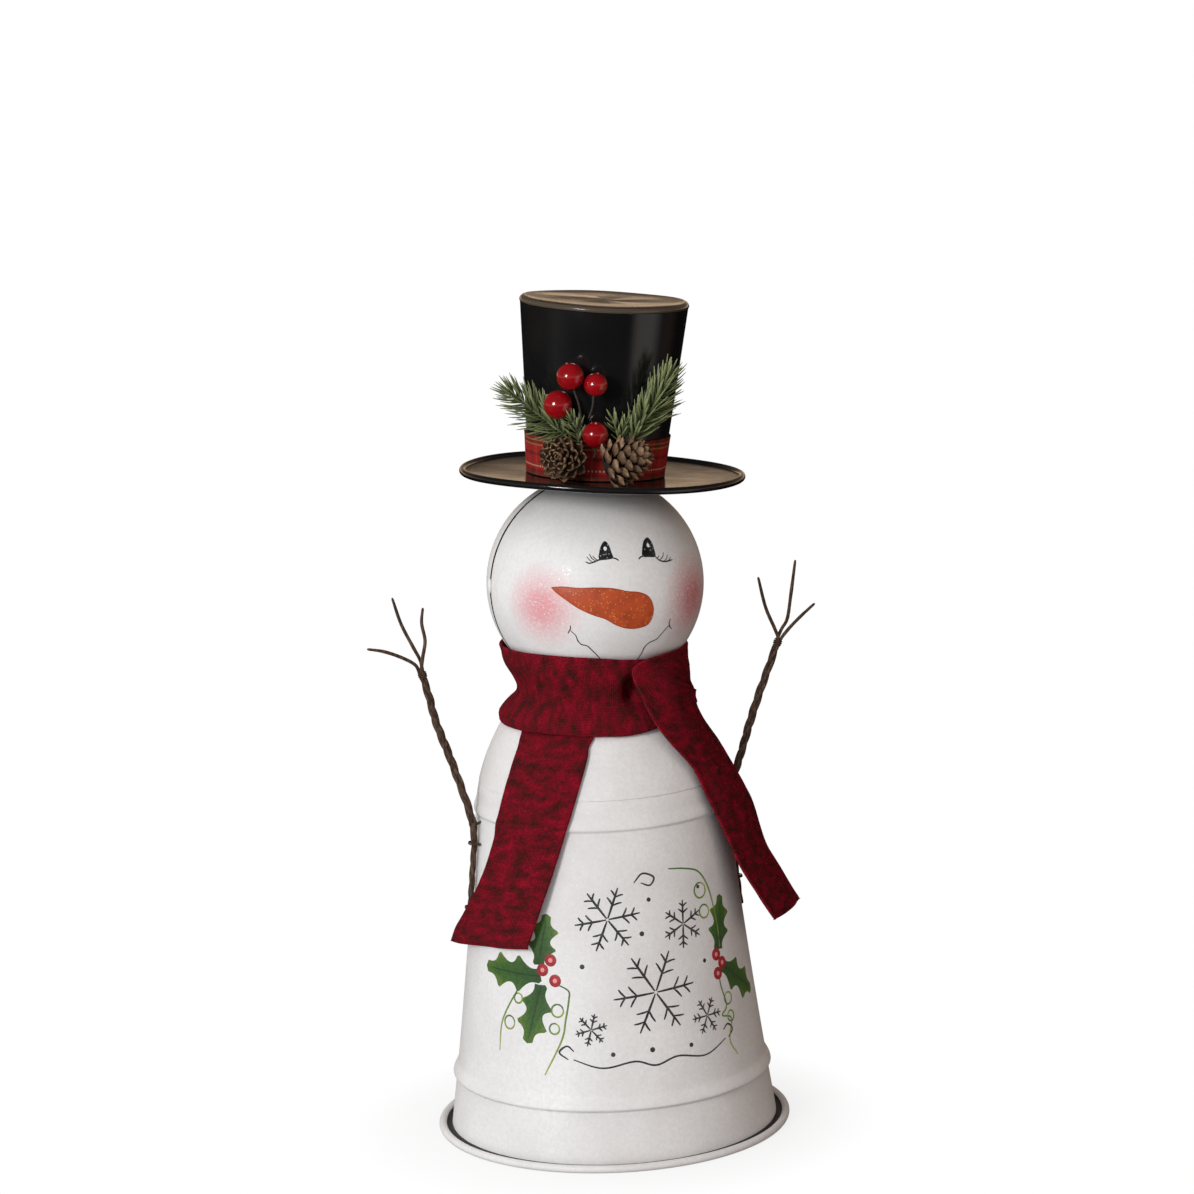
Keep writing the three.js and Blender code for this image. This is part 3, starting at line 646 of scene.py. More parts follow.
def add_cap():
    lift = GAP + SHEET - LAP_STEP
    corner = CAP_TOP_Z - CAP_CORNER_Z
    edge = body_radius(CAP_CORNER_Z)
    bend = wall_profile((CAP_CORNER_Z - 5, CAP_CORNER_Z), lift)
    for inward, down in ((0.55, 0.28), (1.3, 0), (2.2, 0)):
        bend.append([edge - corner * inward, CAP_TOP_Z - corner * down])
    top = wall_profile(np.linspace(CAP_SKIRT_Z, CAP_CORNER_Z - 6, 14), lift) + smooth(bend, 22).tolist()
    top += [[CAP_HOLE + 5.6, CAP_TOP_Z], [CAP_HOLE, CAP_TOP_Z]]
    under = []
    for r, z in reversed(top):
        on_top = z > CAP_CORNER_Z
        under.append([r - SHEET * (0.3 if on_top else 1), z - SHEET * on_top])
    Shape().turn(top + under, 200).build("tin_body_cap", WHITE, replaces=["body_cap"])


def add_wall_seam():
    """The wall's lapped seam up the back, with its solder bead along each edge."""
    edge = [(-4.6, 0), (-4.2, 0.45), (-3.4, 0.62)]
    section = [*edge, (0, 0.66), *((-across, rise) for across, rise in edge[::-1]), (0, -0.1)]
    rings = []
    for z in np.linspace(UPPER_BEAD[0] - 7, LOWER_BEAD[0] + 8, 60):
        ring = []
        for across, rise in section:
            wobble = 0.25 * noise.noise(Vector((across, z * 0.08, 3)))
            ring.append(on_body(180 + math.degrees((across + wobble) / body_radius(z)), z, rise))
        rings.append(ring)
    Shape().loft(rings).build("tin_body_seam", WHITE, replaces=["body_seam_strip"])


def add_neck():
    """The short tube under the head."""
    lo, hi = (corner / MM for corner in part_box("neck_collar"))
    radius = (hi.x - lo.x) / 2
    wall = [[radius, z] for z in np.linspace(lo.z, hi.z, 8)]
    lip, lip_height = 0.9, 0.8
    flare = [[radius + lip, hi.z - lip_height], [radius + lip, hi.z]]
    inner = [[r - SHEET, z] for r, z in reversed(wall)]
    tube = Shape().turn(wall[:-1] + flare + inner, 96, lambda p: p + [HEAD_CENTRE[0], 0, 0])
    tube.build("tin_neck_tube", WHITE, replaces=["neck_collar"])


def add_head():
    """Two pressed halves with an open seam between them."""
    start = math.degrees(math.asin(SEAM_GAP / 2 / HEAD_RADIUS))
    outline = arc(0, 0, HEAD_RADIUS, 90, start + 0.5, 60)
    outline += [[HEAD_RADIUS - 0.06, SEAM_GAP / 2 + 0.2], [HEAD_RADIUS - 0.25, SEAM_GAP / 2]]
    outline += arc(0, 0, HEAD_RADIUS - SHEET, start, 90, 30)
    outline = [[max(r, 0), z] for r, z in outline]
    for name, side in (("front", 1), ("back", -1)):

        def place(p, side=side):
            return HEAD_CENTRE + np.stack([p[..., 0], -side * p[..., 2], side * p[..., 1]], -1)

        Shape().turn(outline, 160, place).build(f"tin_head_{name}", FACE, replaces=[f"head_{name}_shell"])


# Hat. Its parts are turned about the hat's own axis and then bent a little.

LID_TOP = BRIM_TOP + CROWN_HEIGHT
CROWN_EDGE = LID_TOP - 4.2


def add_brim():
    roll = BRIM_RADIUS - BRIM_ROLL
    meet = math.degrees(math.asin(SHEET / 2 / BRIM_ROLL))
    stations = (BRIM_HOLE, 20, 40, 48, 56, 64, 72, 79)
    outline = [[r, BRIM_UNDER] for r in stations]
    outline += arc(roll, BRIM_UNDER + SHEET / 2, BRIM_ROLL, 180 + meet, 540 - meet, 18)
    outline += [[r, BRIM_TOP] for r in stations[::-1]]

    def curl(p):
        """Lifts the edge a little, but not on the left."""
        out = np.hypot(p[..., 0], p[..., 1])
        toward = np.arctan2(p[..., 1], p[..., 0])
        lower_left = 1.3 * np.exp(-((np.abs(np.abs(toward) - math.pi) / 0.75) ** 2))
        rise = smoothstep(out, 50, BRIM_RADIUS) * (1.1 - lower_left + 0.4 * np.cos(3 * toward + 1))
        return in_hat(p + np.stack([BRIM_SHIFT * smoothstep(out, 8, 38), 0 * out, rise], -1))

    Shape().turn(outline, 200, curl).build("tin_hat_brim", ENAMEL, "black_enamel", replaces=["hat_brim"])


def lean_at(z):
    """How far the crown's middle stands aside at a height."""
    return CROWN_LEAN * (z - LID_TOP) / CROWN_HEIGHT


def waver(p):
    """Bends the crown and its lid, which aren't quite round or level at the top, and leans them."""
    x, y, z = (p[..., k] for k in range(3))
    toward = np.arctan2(y, x)
    high = smoothstep(z, 110, LID_TOP)
    grow = 1 + high * (0.004 * np.sin(3 * toward + 0.6) + 0.003 * np.sin(5 * toward))
    uneven = 0.8 * np.cos(toward - 2.2) + 0.2 * np.sin(2 * toward + 2.2) + 0.12 * np.sin(5 * toward + 1)
    return in_hat(np.stack([x * grow + lean_at(z), y * grow, z + high * uneven], -1))


def add_crown():
    heights = np.linspace(BRIM_TOP + GAP, CROWN_EDGE, 30)
    foot = crown_radius(BRIM_TOP)
    outline = [[foot + 1.1, BRIM_TOP + GAP], [foot + 0.5, BRIM_TOP + GAP + 0.5]]
    outline += [[crown_radius(z), z] for z in heights[1:]]
    outline += [[crown_radius(z) - SHEET, z] for z in heights[::-1]]
    Shape().turn(outline, 200, waver).build("tin_hat_crown", ENAMEL, "black_enamel", replaces=["hat_crown"])


def add_lid():
    edge = [[crown_radius(CROWN_EDGE) + 0.1, CROWN_EDGE + GAP], [CROWN_TOP + 0.1, CROWN_EDGE + 1.5]]
    for inward, down in ((0.5, 1.3), (1.7, 0.3), (3.4, 0.05), (5.5, 0.25)):
        edge.append([CROWN_TOP - inward, LID_TOP - down])
    face = smooth(edge, 22).tolist()
    face += [[r, LID_TOP - 0.6 - 0.5 * math.cos(r / 46 * math.pi / 2)] for r in (42, 34, 24, 12, 0)]
    under = [[max(r - SHEET * (z < LID_TOP - 1), 0), z - SHEET * (r < 48)] for r, z in reversed(face)]
    lid = Shape().turn(face + under, 200, waver)
    # Its enamel carries a painted tan reflection.
    lid.build("tin_hat_lid", LID_ENAMEL_PAINTED_REFLECTION, "black_enamel", replaces=["hat_top"])


def add_ribbon():
    """The ribbon, with a rolled selvedge, wound flat and then laid on the tapered crown with soft ripples."""
    sides, flat_radius, crown_middle = 240, 100, 45
    section = []
    for v in np.linspace(0, 1, 15):
        section.append([GAP + BAND_THICK + 0.16 * (v < 0.06 or v > 0.94) + 0.12 * math.sin(math.pi * v), v])
    section += [[0.12, v] for v in (1, 0.75, 0.5, 0.25, 0)]

    def drape(p):
        out = np.hypot(p[..., 0], p[..., 1])
        toward = np.arctan2(p[..., 0], -p[..., 1])
        ripple = np.maximum(0.22 * np.sin(9 * toward) + 0.12 * np.sin(17 * toward + 1), -0.1)
        z = BRIM_TOP + 2 * GAP + p[..., 2] * BAND_HEIGHT
        radius = crown_radius(z) + out - flat_radius + np.where(out > flat_radius + 0.5, ripple, 0)
        return in_hat(np.stack([radius * np.sin(toward) + lean_at(z), -radius * np.cos(toward), z], -1))

    def uv(i, j):
        return i * 2 * math.pi * crown_middle / sides, section[j % len(section)][1] * BAND_HEIGHT

    band = Shape().turn([[flat_radius + r, v] for r, v in section], sides, drape, uv)
    band.build("hat_ribbon", RIBBON, "plaid_ribbon", replaces=["hat_band"])


# The winter pick on the hat.

SCALE_ALONG = (0, 0.35, 0.62, 0.84, 0.95, 1.0)
SCALE_WIDE = (0.22, 0.5, 0.86, 1.0, 0.84, 0.5)
SCALE_THICK = (0.45, 0.4, 0.4, 0.55, 0.75, 0.45)
SCALE_RISE = (0, 0.0, 0.04, 0.13, 0.21, 0.25)


SPRIG_SAMPLES = 60
NEEDLE_RADII, NEEDLE_FLATNESS = [0.45, 0.68, 0.76, 0.76, 0.7, 0.54, 0.2], 0.62


def add_scale(shape, root, outward, upward, length, width, tone):
    """One woody scale: a thin cupped petal, narrow at its root, with a thicker pale lip."""
    outward = unit(outward)
    across = unit(np.cross(upward, outward))
    top = np.cross(outward, across)
    rings = []
    for along, wide, thick, rise in zip(SCALE_ALONG, SCALE_WIDE, SCALE_THICK, SCALE_RISE):
        centre = root + outward * length * along + top * length * rise
        ring = []
        for up, line in ((thick / 2, (-1, -0.6, 0, 0.6, 1)), (-thick / 2, (1, 0.6, 0, -0.6, -1))):
            for k in line:
                point = centre + across * k * wide * width / 2 + top * (up + 0.1 * width * k * k)
                ring.append(point - outward * 0.2 * length * k * k * along)
        rings.append(ring)
    shape.loft(rings, uv=lambda i, j: (tone, SCALE_ALONG[i]), flat_caps=False)


def add_cone(name, base, tip, radius, scales, node, seed, wide):
    """A pine cone: woody scales in a golden spiral round a core, opening towards the base."""
    dice = random.Random(seed)
    base, tip = np.array(base, float), np.array(tip, float)
    axis = unit(tip - base)
    length = np.linalg.norm(tip - base)
    side, third = square_to(axis, [0.2, 0.1, 1])
    stations = np.linspace(0, 0.9, 12)
    core_radii = radius * 0.3 * np.sqrt(1 - (stations / 0.98) ** 2)
    shape = Shape().tube(in_hat([base + axis * length * t for t in stations]), core_radii, 14)
    for i in range(scales):
        t = (i + 0.5) / scales
        along = 1 - t ** 0.85
        turn = i * GOLDEN_ANGLE + dice.uniform(-0.06, 0.06)
        radial = math.cos(turn) * side + math.sin(turn) * third
        reach = radius * (1 - along ** 2.4) ** 0.5
        root_radius = reach * 0.14
        root = base + axis * length * along * 0.86 + radial * root_radius
        open_angle = math.radians(lerp(16, 88, t ** 0.62)) + dice.uniform(-0.05, 0.05)
        outward = axis * math.cos(open_angle) + radial * math.sin(open_angle)
        size = max(reach - root_radius, 3.4) * lerp(1.12, 1.0, t) * dice.uniform(0.95, 1.04)
        breadth = lerp(3.0, wide, t ** 0.55) * dice.uniform(0.94, 1.06)
        foot, ahead, above = in_hat(np.array([root, root + outward, root + axis]))
        add_scale(shape, foot, ahead - foot, above - foot, size, breadth, dice.random())
    shape.build(name, SCALE_BROWN, "pine_scale", replaces=[node], sharp=50)


# Each berry: its centre, its radius and its wire's foot.
BERRIES = [
    ((-34.9, -48.9, 131.2), 8.3, (-27, -48.4, 106)),
    ((-20.9, -54.9, 127.1), 7.1, (-23.2, -51.2, 107)),
    ((-40.2, -43, 113.8), 8.7, (-27, -51.2, 101.5)),
    ((-19.6, -53.4, 97.2), 7.8, (-18.2, -47.8, 83)),
]


def add_berry(k, centre, radius, foot):
    centre, foot = np.array(centre, float), np.array(foot, float)
    down = unit(foot - centre)
    side, third = square_to(down, [0, 1, 0.2])

    def turned(outline, sides):
        """Turns an outline, in shares of the radius, about the berry's own axis."""

        def place(p):
            return in_hat(centre + p[..., :1] * side + p[..., 1:2] * third - p[..., 2:] * down)

        return Shape().turn([[r * radius, z * radius] for r, z in outline], sides, place)

    ball = []
    for a in np.linspace(math.pi, 0.16, 40):
        ball.append([max(math.sin(a), 0) * (0.96 if math.cos(a) < -0.8 else 1), math.cos(a) * 0.985])
    ball += [[0.1, 0.965], [0, 0.955]]
    turned(ball, 64).build(f"red_berry_{k}", BERRY, "berry_red", replaces=[f"berry_{k}"], sharp=60)
    nub = [[0, 0.93], [0.07, 0.95], [0.095, 1.0], [0.06, 1.05], [0, 1.06]]
    turned(nub, 14).build(f"berry_nub_{k}", BERRY_NUB, "berry_red", sharp=60)
    top = centre + down * (radius - 0.3)
    path = smooth([top, lerp(top, foot, 0.5) + [0.4, -1, 0], foot], 16)
    wire = Shape().tube(in_hat(path), 0.62 + 0.08 * np.sin(np.arange(16) * 2.1), 10)
    wire.build(f"berry_wire_{k}", STEM, "brown_wrap", replaces=[f"berry_stem_{k}"])


def add_sprig(name, path, needles, length, node, seed, spread, stem_radius=0.8):
    """An evergreen tip: a woody stem with needles all round it that lean towards its end."""
    dice = random.Random(seed)
    line = smooth(path, SPRIG_SAMPLES)
    tangents = unit(np.gradient(line, axis=0))
    shape = Shape().tube(in_hat(line), np.linspace(stem_radius, 0.45, SPRIG_SAMPLES), tone=0.2)
    for i in range(needles):
        t = (i + 0.5) / needles
        at = int(t * (SPRIG_SAMPLES - 1))
        start, tangent = line[at], tangents[at]
        side = unit(np.cross(tangent, [0, 1, 0]))
        front = np.cross(side, tangent)
        turn = i * GOLDEN_ANGLE + dice.uniform(-0.3, 0.3)
        flat = math.cos(turn) * side + 0.6 * math.sin(turn) * front
        lean = math.radians(spread * lerp(1.0, 0.4, t ** 3) + dice.uniform(-9, 9))
        direction = unit(tangent * math.cos(lean) + unit(flat) * math.sin(lean))
        size = length * lerp(1.0, 0.72, abs(2 * t - 0.9)) * dice.uniform(0.8, 1.12)
        bend = start + direction * size * 0.55 + tangent * size * 0.02
        end = start + direction * size * 0.92 + tangent * size * 0.16
        needle = in_hat(smooth([start, bend, end], len(NEEDLE_RADII)))
        shape.tube(needle, NEEDLE_RADII, 6, NEEDLE_FLATNESS, dice.random())
    shape.build(name, NEEDLE, "pine_needle", replaces=node, sharp=60)


def add_pick():
    facing = np.array([-math.sin(math.radians(36)), -math.cos(math.radians(36)), 0.12])
    middle = np.array([-36.7, -44.6, 83])
    add_cone("pine_cone_left", middle - facing * 9, middle + facing * 11, 15.6, 46, "pinecone_left", 3, 9.6)
    add_cone("pine_cone_right", (-13.5, -56.5, 78), (9.5, -69, 89), 16.6, 54, "pinecone_right", 8, 10.2)
    for k, berry in enumerate(BERRIES, 1):
        add_berry(k, *berry)
    left = [(-35, -45, 96), (-43, -37, 102), (-53, -30, 110), (-64.5, -24.5, 119)]
    right = [(4, -52, 92), (9, -53, 103), (16.5, -54, 115), (23, -56, 129.5)]
    middle = [(-28, -48, 92), (-30, -48, 99.5), (-33.5, -47.5, 106)]
    fork_left = [(-4, -52.5, 93), (-6.5, -53, 100), (-10, -54, 108)]
    fork_right = [(-4, -52.5, 93), (-2.5, -53, 99), (-1.2, -54, 105)]
    add_sprig("evergreen_left", left, 130, 19, ["sprig_left"], 21, 58)
    add_sprig("evergreen_right", right, 130, 21, ["sprig_right"], 22, 50)
    add_sprig("evergreen_middle", middle, 28, 12, ["sprig_middle"], 23, 52, 0.6)
    add_sprig("evergreen_fork_left", fork_left, 12, 10, [], 24, 34, 0.5)
    add_sprig("evergreen_fork_right", fork_right, 10, 10, [], 25, 34, 0.5)


# Arms: three paper-wrapped wires twisted together, which part into three fingers.

STEM_TOP = (float(body_radius(STEM_BEND_Z)) + STEM_OFFSET, STEM_BEND_Z)
STEM_FOOT = (float(body_radius(STEM_FOOT_Z)) + STEM_OFFSET, STEM_FOOT_Z)
# Each arm: its side, and the forearm's and fingers' points as (distance from the middle, height).
ARMS = {
    "left": (
        -1,
        [(83.2, 203), (93, 236), (102.3, 264), (106, 281), (110, 296)],
        [
            [(113.6, 300.4), (121.8, 305.6), (132.4, 310.2), (142.6, 312.7)],
            [(110.2, 303), (114.2, 311.5), (120.8, 326), (125.6, 342.5)],
            [(109, 304), (106.8, 314.5), (108.3, 325.5), (107, 334.8)],
        ],
    ),
    "right": (
        1,
        [(83.2, 203), (89.6, 218), (101, 250), (112, 277), (119.2, 294)],
        [
            [(123.2, 297), (128.4, 302), (135.6, 308), (143.6, 314)],
            [(121.8, 299.8), (125.6, 306), (128.2, 320), (131.9, 342.4)],
            [(116.4, 301), (111, 315), (107, 334)],
        ],
    ),
}
ARM_SAMPLES, WIRE_SAMPLES = 150, 190


def wire_radii(k, side):
    """One wire's radius along it: uneven paper, slimmer in the stem and in the fingers."""
    t = np.linspace(0, 1, WIRE_SAMPLES)
    broad = [0.12 * noise.noise(Vector((x * 30, k * 7.3, side * 3.1))) for x in t]
    fine = [0.05 * noise.noise(Vector((x * 110, k, side))) for x in t]
    radii = WIRE_RADIUS + np.array(broad) + np.array(fine)
    radii *= 1 + 0.12 * np.exp(-((t - 0.58) / 0.07) ** 2)
    radii *= lerp(0.78, 1, smoothstep(t, 0.25, 0.36))
    radii *= 1 - 0.2 * smoothstep(t, 0.72, 0.8) - 0.18 * smoothstep(t, 0.93, 1.0)
    radii[[0, -1]] *= 0.55
    return radii


def add_arm(name, side, forearm, fingers):
    straight = [[lerp(STEM_FOOT[k], STEM_TOP[k], t) for k in (0, 1)] for t in (0, 0.4, 0.7, 0.92)]
    axis = smooth([(side * x, 0, z) for x, z in [*straight, *forearm]], ARM_SAMPLES)
    tangents = unit(np.gradient(axis, axis=0))
    length = np.linalg.norm(np.diff(axis, axis=0), axis=1).sum()
    along = np.linspace(0, 1, ARM_SAMPLES)
    across = np.stack([tangents[:, 2], 0 * along, -tangents[:, 0]], -1) * side
    for k, finger in enumerate(fingers):
        turn = 2 * math.pi * (k / 3 + (along - 1) * length / TWIST_PITCH) + 0.5 * np.sin(along * 9 + side)
        coil = TWIST_RADIUS * lerp(0.75, 1, smoothstep(along, 0.3, 0.42))
        wire = axis + across * (coil * np.cos(turn))[:, None]
        wire[:, 1] += coil * np.sin(turn)
        tail = [(side * x, wire[-1][1] * (1 - i / len(finger)), z) for i, (x, z) in enumerate(finger)]
        path = smooth([*wire[:-2:6], wire[-1], *tail], WIRE_SAMPLES)
        twig = Shape().tube(path, wire_radii(k, side), 12, tone=k / 3)
        node = f"{name}_arm_wire_{k + 1}"
        twig.build(f"{name}_arm_twig_{k + 1}", BARK, "brown_wrap", f"{name}_arm", [node], 60)
    add_bindings(name, side, axis, tangents)


def add_bindings(name, side, axis, tangents):
    """Paper wound round all three wires where the twist parts and at its bend, and a stub of wire below."""
    turns, wire_radius = 3.2, 0.62
    bend = int(ARM_SAMPLES * 0.41)
    shape = Shape()
    for at, wide, radius in ((ARM_SAMPLES - 3, 4, 2.75), (bend, 3.2, 2.6)):
        sideways, third = square_to(tangents[at], [0, 1, 0])
        path, radii = [], []
        for s in np.linspace(0, 1, 70):
            a = s * 2 * math.pi * turns
            out = radius - 0.55 + 0.12 * math.sin(5 * a)
            spot = axis[at] + tangents[at] * wide * (s - 0.5)
            path.append(spot + out * (math.cos(a) * sideways + math.sin(a) * third))
            radii.append(wire_radius * math.sin(math.pi * min(max(s, 0.04), 0.96)) ** 0.3)
        shape.tube(path, radii)
    stub = axis[bend - 1]
    steps = [stub, stub + [-side * 2.5, -1, 1.2], stub + [-side * 5.2, -1.8, 2.6]]
    shape.tube(smooth(steps, 14), np.linspace(1.1, 0.7, 14), 9)
    shape.build(f"{name}_arm_bindings", BARK, "brown_wrap", f"{name}_arm", sharp=60)


def add_clips():
    """The ties of wrapped wire that hold each arm's stem against the wall."""
    lean = math.atan2(STEM_FOOT[0] - STEM_TOP[0], STEM_BEND_Z - STEM_FOOT_Z)
    base, reach = STEM_OFFSET - GAP - TIE_RADIUS, 3.3
    leg = np.array([(-5.4, -base), (-4.4, -base), (-3.5, -base + 0.9)])
    over = [(reach * math.cos(a), reach * math.sin(a)) for a in np.linspace(math.pi, 0, 12)]
    across, out = smooth([*leg, *over, *(leg[::-1] * [-1, 1])], 60).T
    turns = np.linspace(0, 9, 60)
    for name, side in (("left", -1), ("right", 1)):
        for label in ("lower", "upper"):
            node = f"{name}_arm_clip_{label}"
            lo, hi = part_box(node)
            z = (lo.z + hi.z) / 2 / MM
            shape = Shape()
            for shift in (-0.45, 0.45):
                rise = shift + 0.12 * np.sin(turns + shift)
                x = float(body_radius(z)) + STEM_OFFSET + out * math.cos(lean) - rise * math.sin(lean)
                height = z + rise * math.cos(lean) + out * math.sin(lean)
                path = np.stack([side * x, side * across, height], -1)
                shape.tube(path, TIE_RADIUS + 0.05 * np.sin(turns * 2.3), tone=shift)
            shape.build(f"{name}_tie_{label}", BARK, "brown_wrap", replaces=[node])


# Scarf: one knitted strip. Its lower end lies on the left, it winds round the neck, and its other
# end folds over the right shoulder.

SHOULDER_REST_Z = 246


def tail_station(s):
    """The lower end, from its hem at 0 to the shoulder at 1: the strip's left and right edges on the wall."""
    left_z, right_z = lerp(122.5, SHOULDER_REST_Z, s), lerp(132.5, SHOULDER_REST_Z, s)
    left = -65 - 0.00215 * (SHOULDER_REST_Z - left_z) ** 2
    right = -22.5 - 0.225 * (SHOULDER_REST_Z - right_z)
    return [left, float(body_radius(left_z)), left_z, right, float(body_radius(right_z)), right_z, 0, 1]


# Each station: angle, radius and height of the lower edge, then of the upper edge, how far the
# middle draws in, and how closely the strip lies on the wall.
HIDDEN_RISE = [
    (-65.5, 64.3, 252, -22, 64.3, 252, 0, 0.7),
    (-68, 60.3, 257, -20, 60.3, 257.5, 0, 0),
    (-72, 56, 262.5, -22, 54.5, 265, 1, 0),
    (-77, 52, 266.5, -29, 49.5, 276, 2, 0),
    (-83, 50, 268.5, -45, 48, 286, 2.5, 0),
    (-89, 50, 268.5, -68, 48.5, 291, 3, 0),
]
# The winding: angle, radius and height of each edge, and how far the middle draws in. Its first
# turn is bunched, out of sight.
WINDING = [(angle, 50, 268.5, 48.5, 292, 3) for angle in (95, 140, 180, 225, 270)] + [
    (300, 53, 266, 51, 296, 4),
    (325, 57.5, 262, 54, 299, 5),
    (345, 60.5, 258, 56.3, 301, 6),
    (360, 61.3, 256.6, 57.3, 302.5, 6.5),
    (375, 61.3, 257.2, 57.8, 304.5, 7),
    (398, 60.8, 258, 58.3, 306, 8),
    (420, 60.8, 258.4, 59, 306.6, 9.6),
    (450, 60.4, 257.8, 59.2, 306, 10.2),
    (480, 60.2, 257, 59.2, 305.5, 10.2),
    (510, 60.2, 256.6, 58.6, 305.3, 9.4),
    (540, 60, 256.5, 57.5, 305, 8),
    (585, 60.6, 257, 56.6, 304, 7),
    (615, 60.9, 258, 55.6, 302.6, 5),
]
# The end that folds over the right shoulder, as HIDDEN_RISE but two turns on and clear of the wall.
FOLD = [
    (86, 61.2, 260, 80, 55.2, 301.5, 3),
    (80, 60.4, 262, 58, 56.2, 302.3, 2),
    (77, 59.8, 265, 36, 57.4, 302.6, 1.5),
    (74.5, 59.2, 267.5, 18, 58.6, 302, 1),
    (71.5, 59, 269.5, 7.5, 59.5, 299.5, 0.5),
    (69, 59.8, 272, 3.7, 60.2, 296, 0),
    (67, 59.6, 271.5, 4.6, 61, 289, 0),
    (65.5, 59.8, 269.5, 8, 62, 281, 0),
    (64.8, 60.2, 265.5, 11, 63.6, 271, 0),
    (64.8, 62, 260, 14.5, 66, 262, 0),
    (65.5, 65.6, 252.5, 19.5, 69.5, 252, 0),
    (66.7, 70.4, 244, 25, 72.5, 243, 0),
    (67.7, 76.6, 233, 31, 76, 232, 0),
    (69.5, 85, 217, 34.5, 80.5, 217, 0),
    (71, 91.2, 202.4, 38, 84.5, 202, 0),
    (72.3, 95.5, 186, 42, 88.5, 186, 0),
    (73.6, 100.5, 170, 44.8, 93, 170, 0),
    (75.1, 109.4, 152.8, 48.4, 100.5, 152.5, 0),
    (76.4, 119.7, 134.4, 52, 109.2, 134, 0),
]


def scarf_stations():
    stations = [tail_station(s) for s in np.linspace(0, 1, 9)] + HIDDEN_RISE
    for angle, low_radius, low_z, high_radius, high_z, waist in WINDING:
        stations.append((-angle, low_radius, low_z, -angle, high_radius, high_z, waist, 0))
    for low_angle, low_radius, low_z, high_angle, high_radius, high_z, waist in FOLD:
        stations.append((low_angle - 720, low_radius, low_z, high_angle - 720, high_radius, high_z, waist, 0))
    return np.array(stations, float)


def hump(x, middle, width):
    return np.exp(-(((x - middle) / width) ** 2))


def scarf_surface(stations, w):
    """Points of the strip's outer face: one row for each station, one column for each w from 0 to 1."""
    low_angle, low_radius, low_z, high_angle, high_radius, high_z, waist, wall = stations.T[:, :, None]
    angle = lerp(low_angle, high_angle, w)
    z = lerp(low_z, high_z, w)
    pulled = hump(w, 0.4, np.where(w < 0.4, 0.155, 0.31)) - 0.17 * hump(w, 0.1, 0.07)
    radius = lerp(low_radius, high_radius, w) - waist * pulled
    over_stem = 8.5 * smoothstep(-angle, 70, 97) * (angle > -200)
    loose = 4.5 * smoothstep(w, 0.3, 1) * smoothstep(-z, -225, -140)
    over_bead = 0.9 * hump(z, UPPER_BEAD[0], 5)
    lying = body_radius(z) + 0.5 + SCARF_THICK + over_stem + over_bead + loose
    pinch_depth, pinch_angle, pinch_z = 17, -353.5, 283
    pinch = pinch_depth * hump(angle, pinch_angle, 5) * hump(z, pinch_z, 7)
    return polar(angle, lerp(radius, lying, wall) - pinch, z) + [1.0, 0, 0] * (1 - wall[..., None])


def add_scarf():
    row_spacing, columns = 1.6, 25
    dense = spline(scarf_stations(), 2400)
    probe = scarf_surface(dense, np.array([0.25, 0.5, 0.75]))
    travel = distance_along(np.linalg.norm(np.diff(probe, axis=0), axis=2).mean(1))
    length = travel[-1]
    at = np.linspace(0, length, int(length / row_spacing))

    edge = SCARF_THICK / 2 / SCARF_WIDTH
    border = np.array([0, edge * 0.3, edge])
    w = np.concatenate([border, np.linspace(edge * 2.4, 1 - edge * 2.4, columns), 1 - border[::-1]])
    face = scarf_surface(resample(dense, travel, at), w)
    normal = unit(np.cross(*(unit(np.gradient(face, axis=k)) for k in (0, 1))))
    normal *= np.sign(np.sum(normal * face * [1, 1, 0], axis=2))[..., None]

    def ripple(u, v):
        soft = 0.75 * noise.noise(Vector((u / 30, v / 13, 2.7)))
        return max(soft + 0.28 * noise.noise(Vector((u / 9, v / 6, 9.1))), -0.5)

    curl = 0.9 * (smoothstep(w, 0.1, 0.0) + smoothstep(w, 0.9, 1.0))
    height = np.array([[ripple(u, v) for v in w * SCARF_WIDTH] for u in at]) + curl
    to_edge = np.minimum(np.minimum(w, 1 - w) / edge, 1)
    thinner = SCARF_THICK / 2 * (1 - np.sqrt(np.clip(1 - (1 - to_edge) ** 2, 0, 1)))
    hem = SCARF_THICK / 2 * (1 - np.minimum(1, np.minimum(at, length - at) / 1.5))
    thinner = thinner + hem[:, None]
    top = face + normal * (height - thinner)[..., None]
    bottom = face + normal * (height - SCARF_THICK + thinner)[..., None]
    spread = np.concatenate([w, w[::-1], w[:1]]) * SCARF_WIDTH * MM
    strip = Shape().loft(
        np.concatenate([top, bottom[:, ::-1]], axis=1),
        uv=lambda i, j: (at[i] * MM, spread[j]),
        flat_caps=False,
    )
    stands_for = ["scarf_collar", "scarf_tail_left", "scarf_tail_right"]
    scarf = strip.build("knit_scarf", KNIT, "red_knit", replaces=stands_for, sharp=70)


# Painted decoration. Paths on the head are (longitude, latitude), and on the body (angle, height).


def mm_to_degrees(size, z):
    return math.degrees(size / float(body_radius(z)))


def raised(surface, rise):
    """The same surface, lifted by the paint under it."""
    return lambda a, b, lift=0.0: surface(a, b, lift + rise)


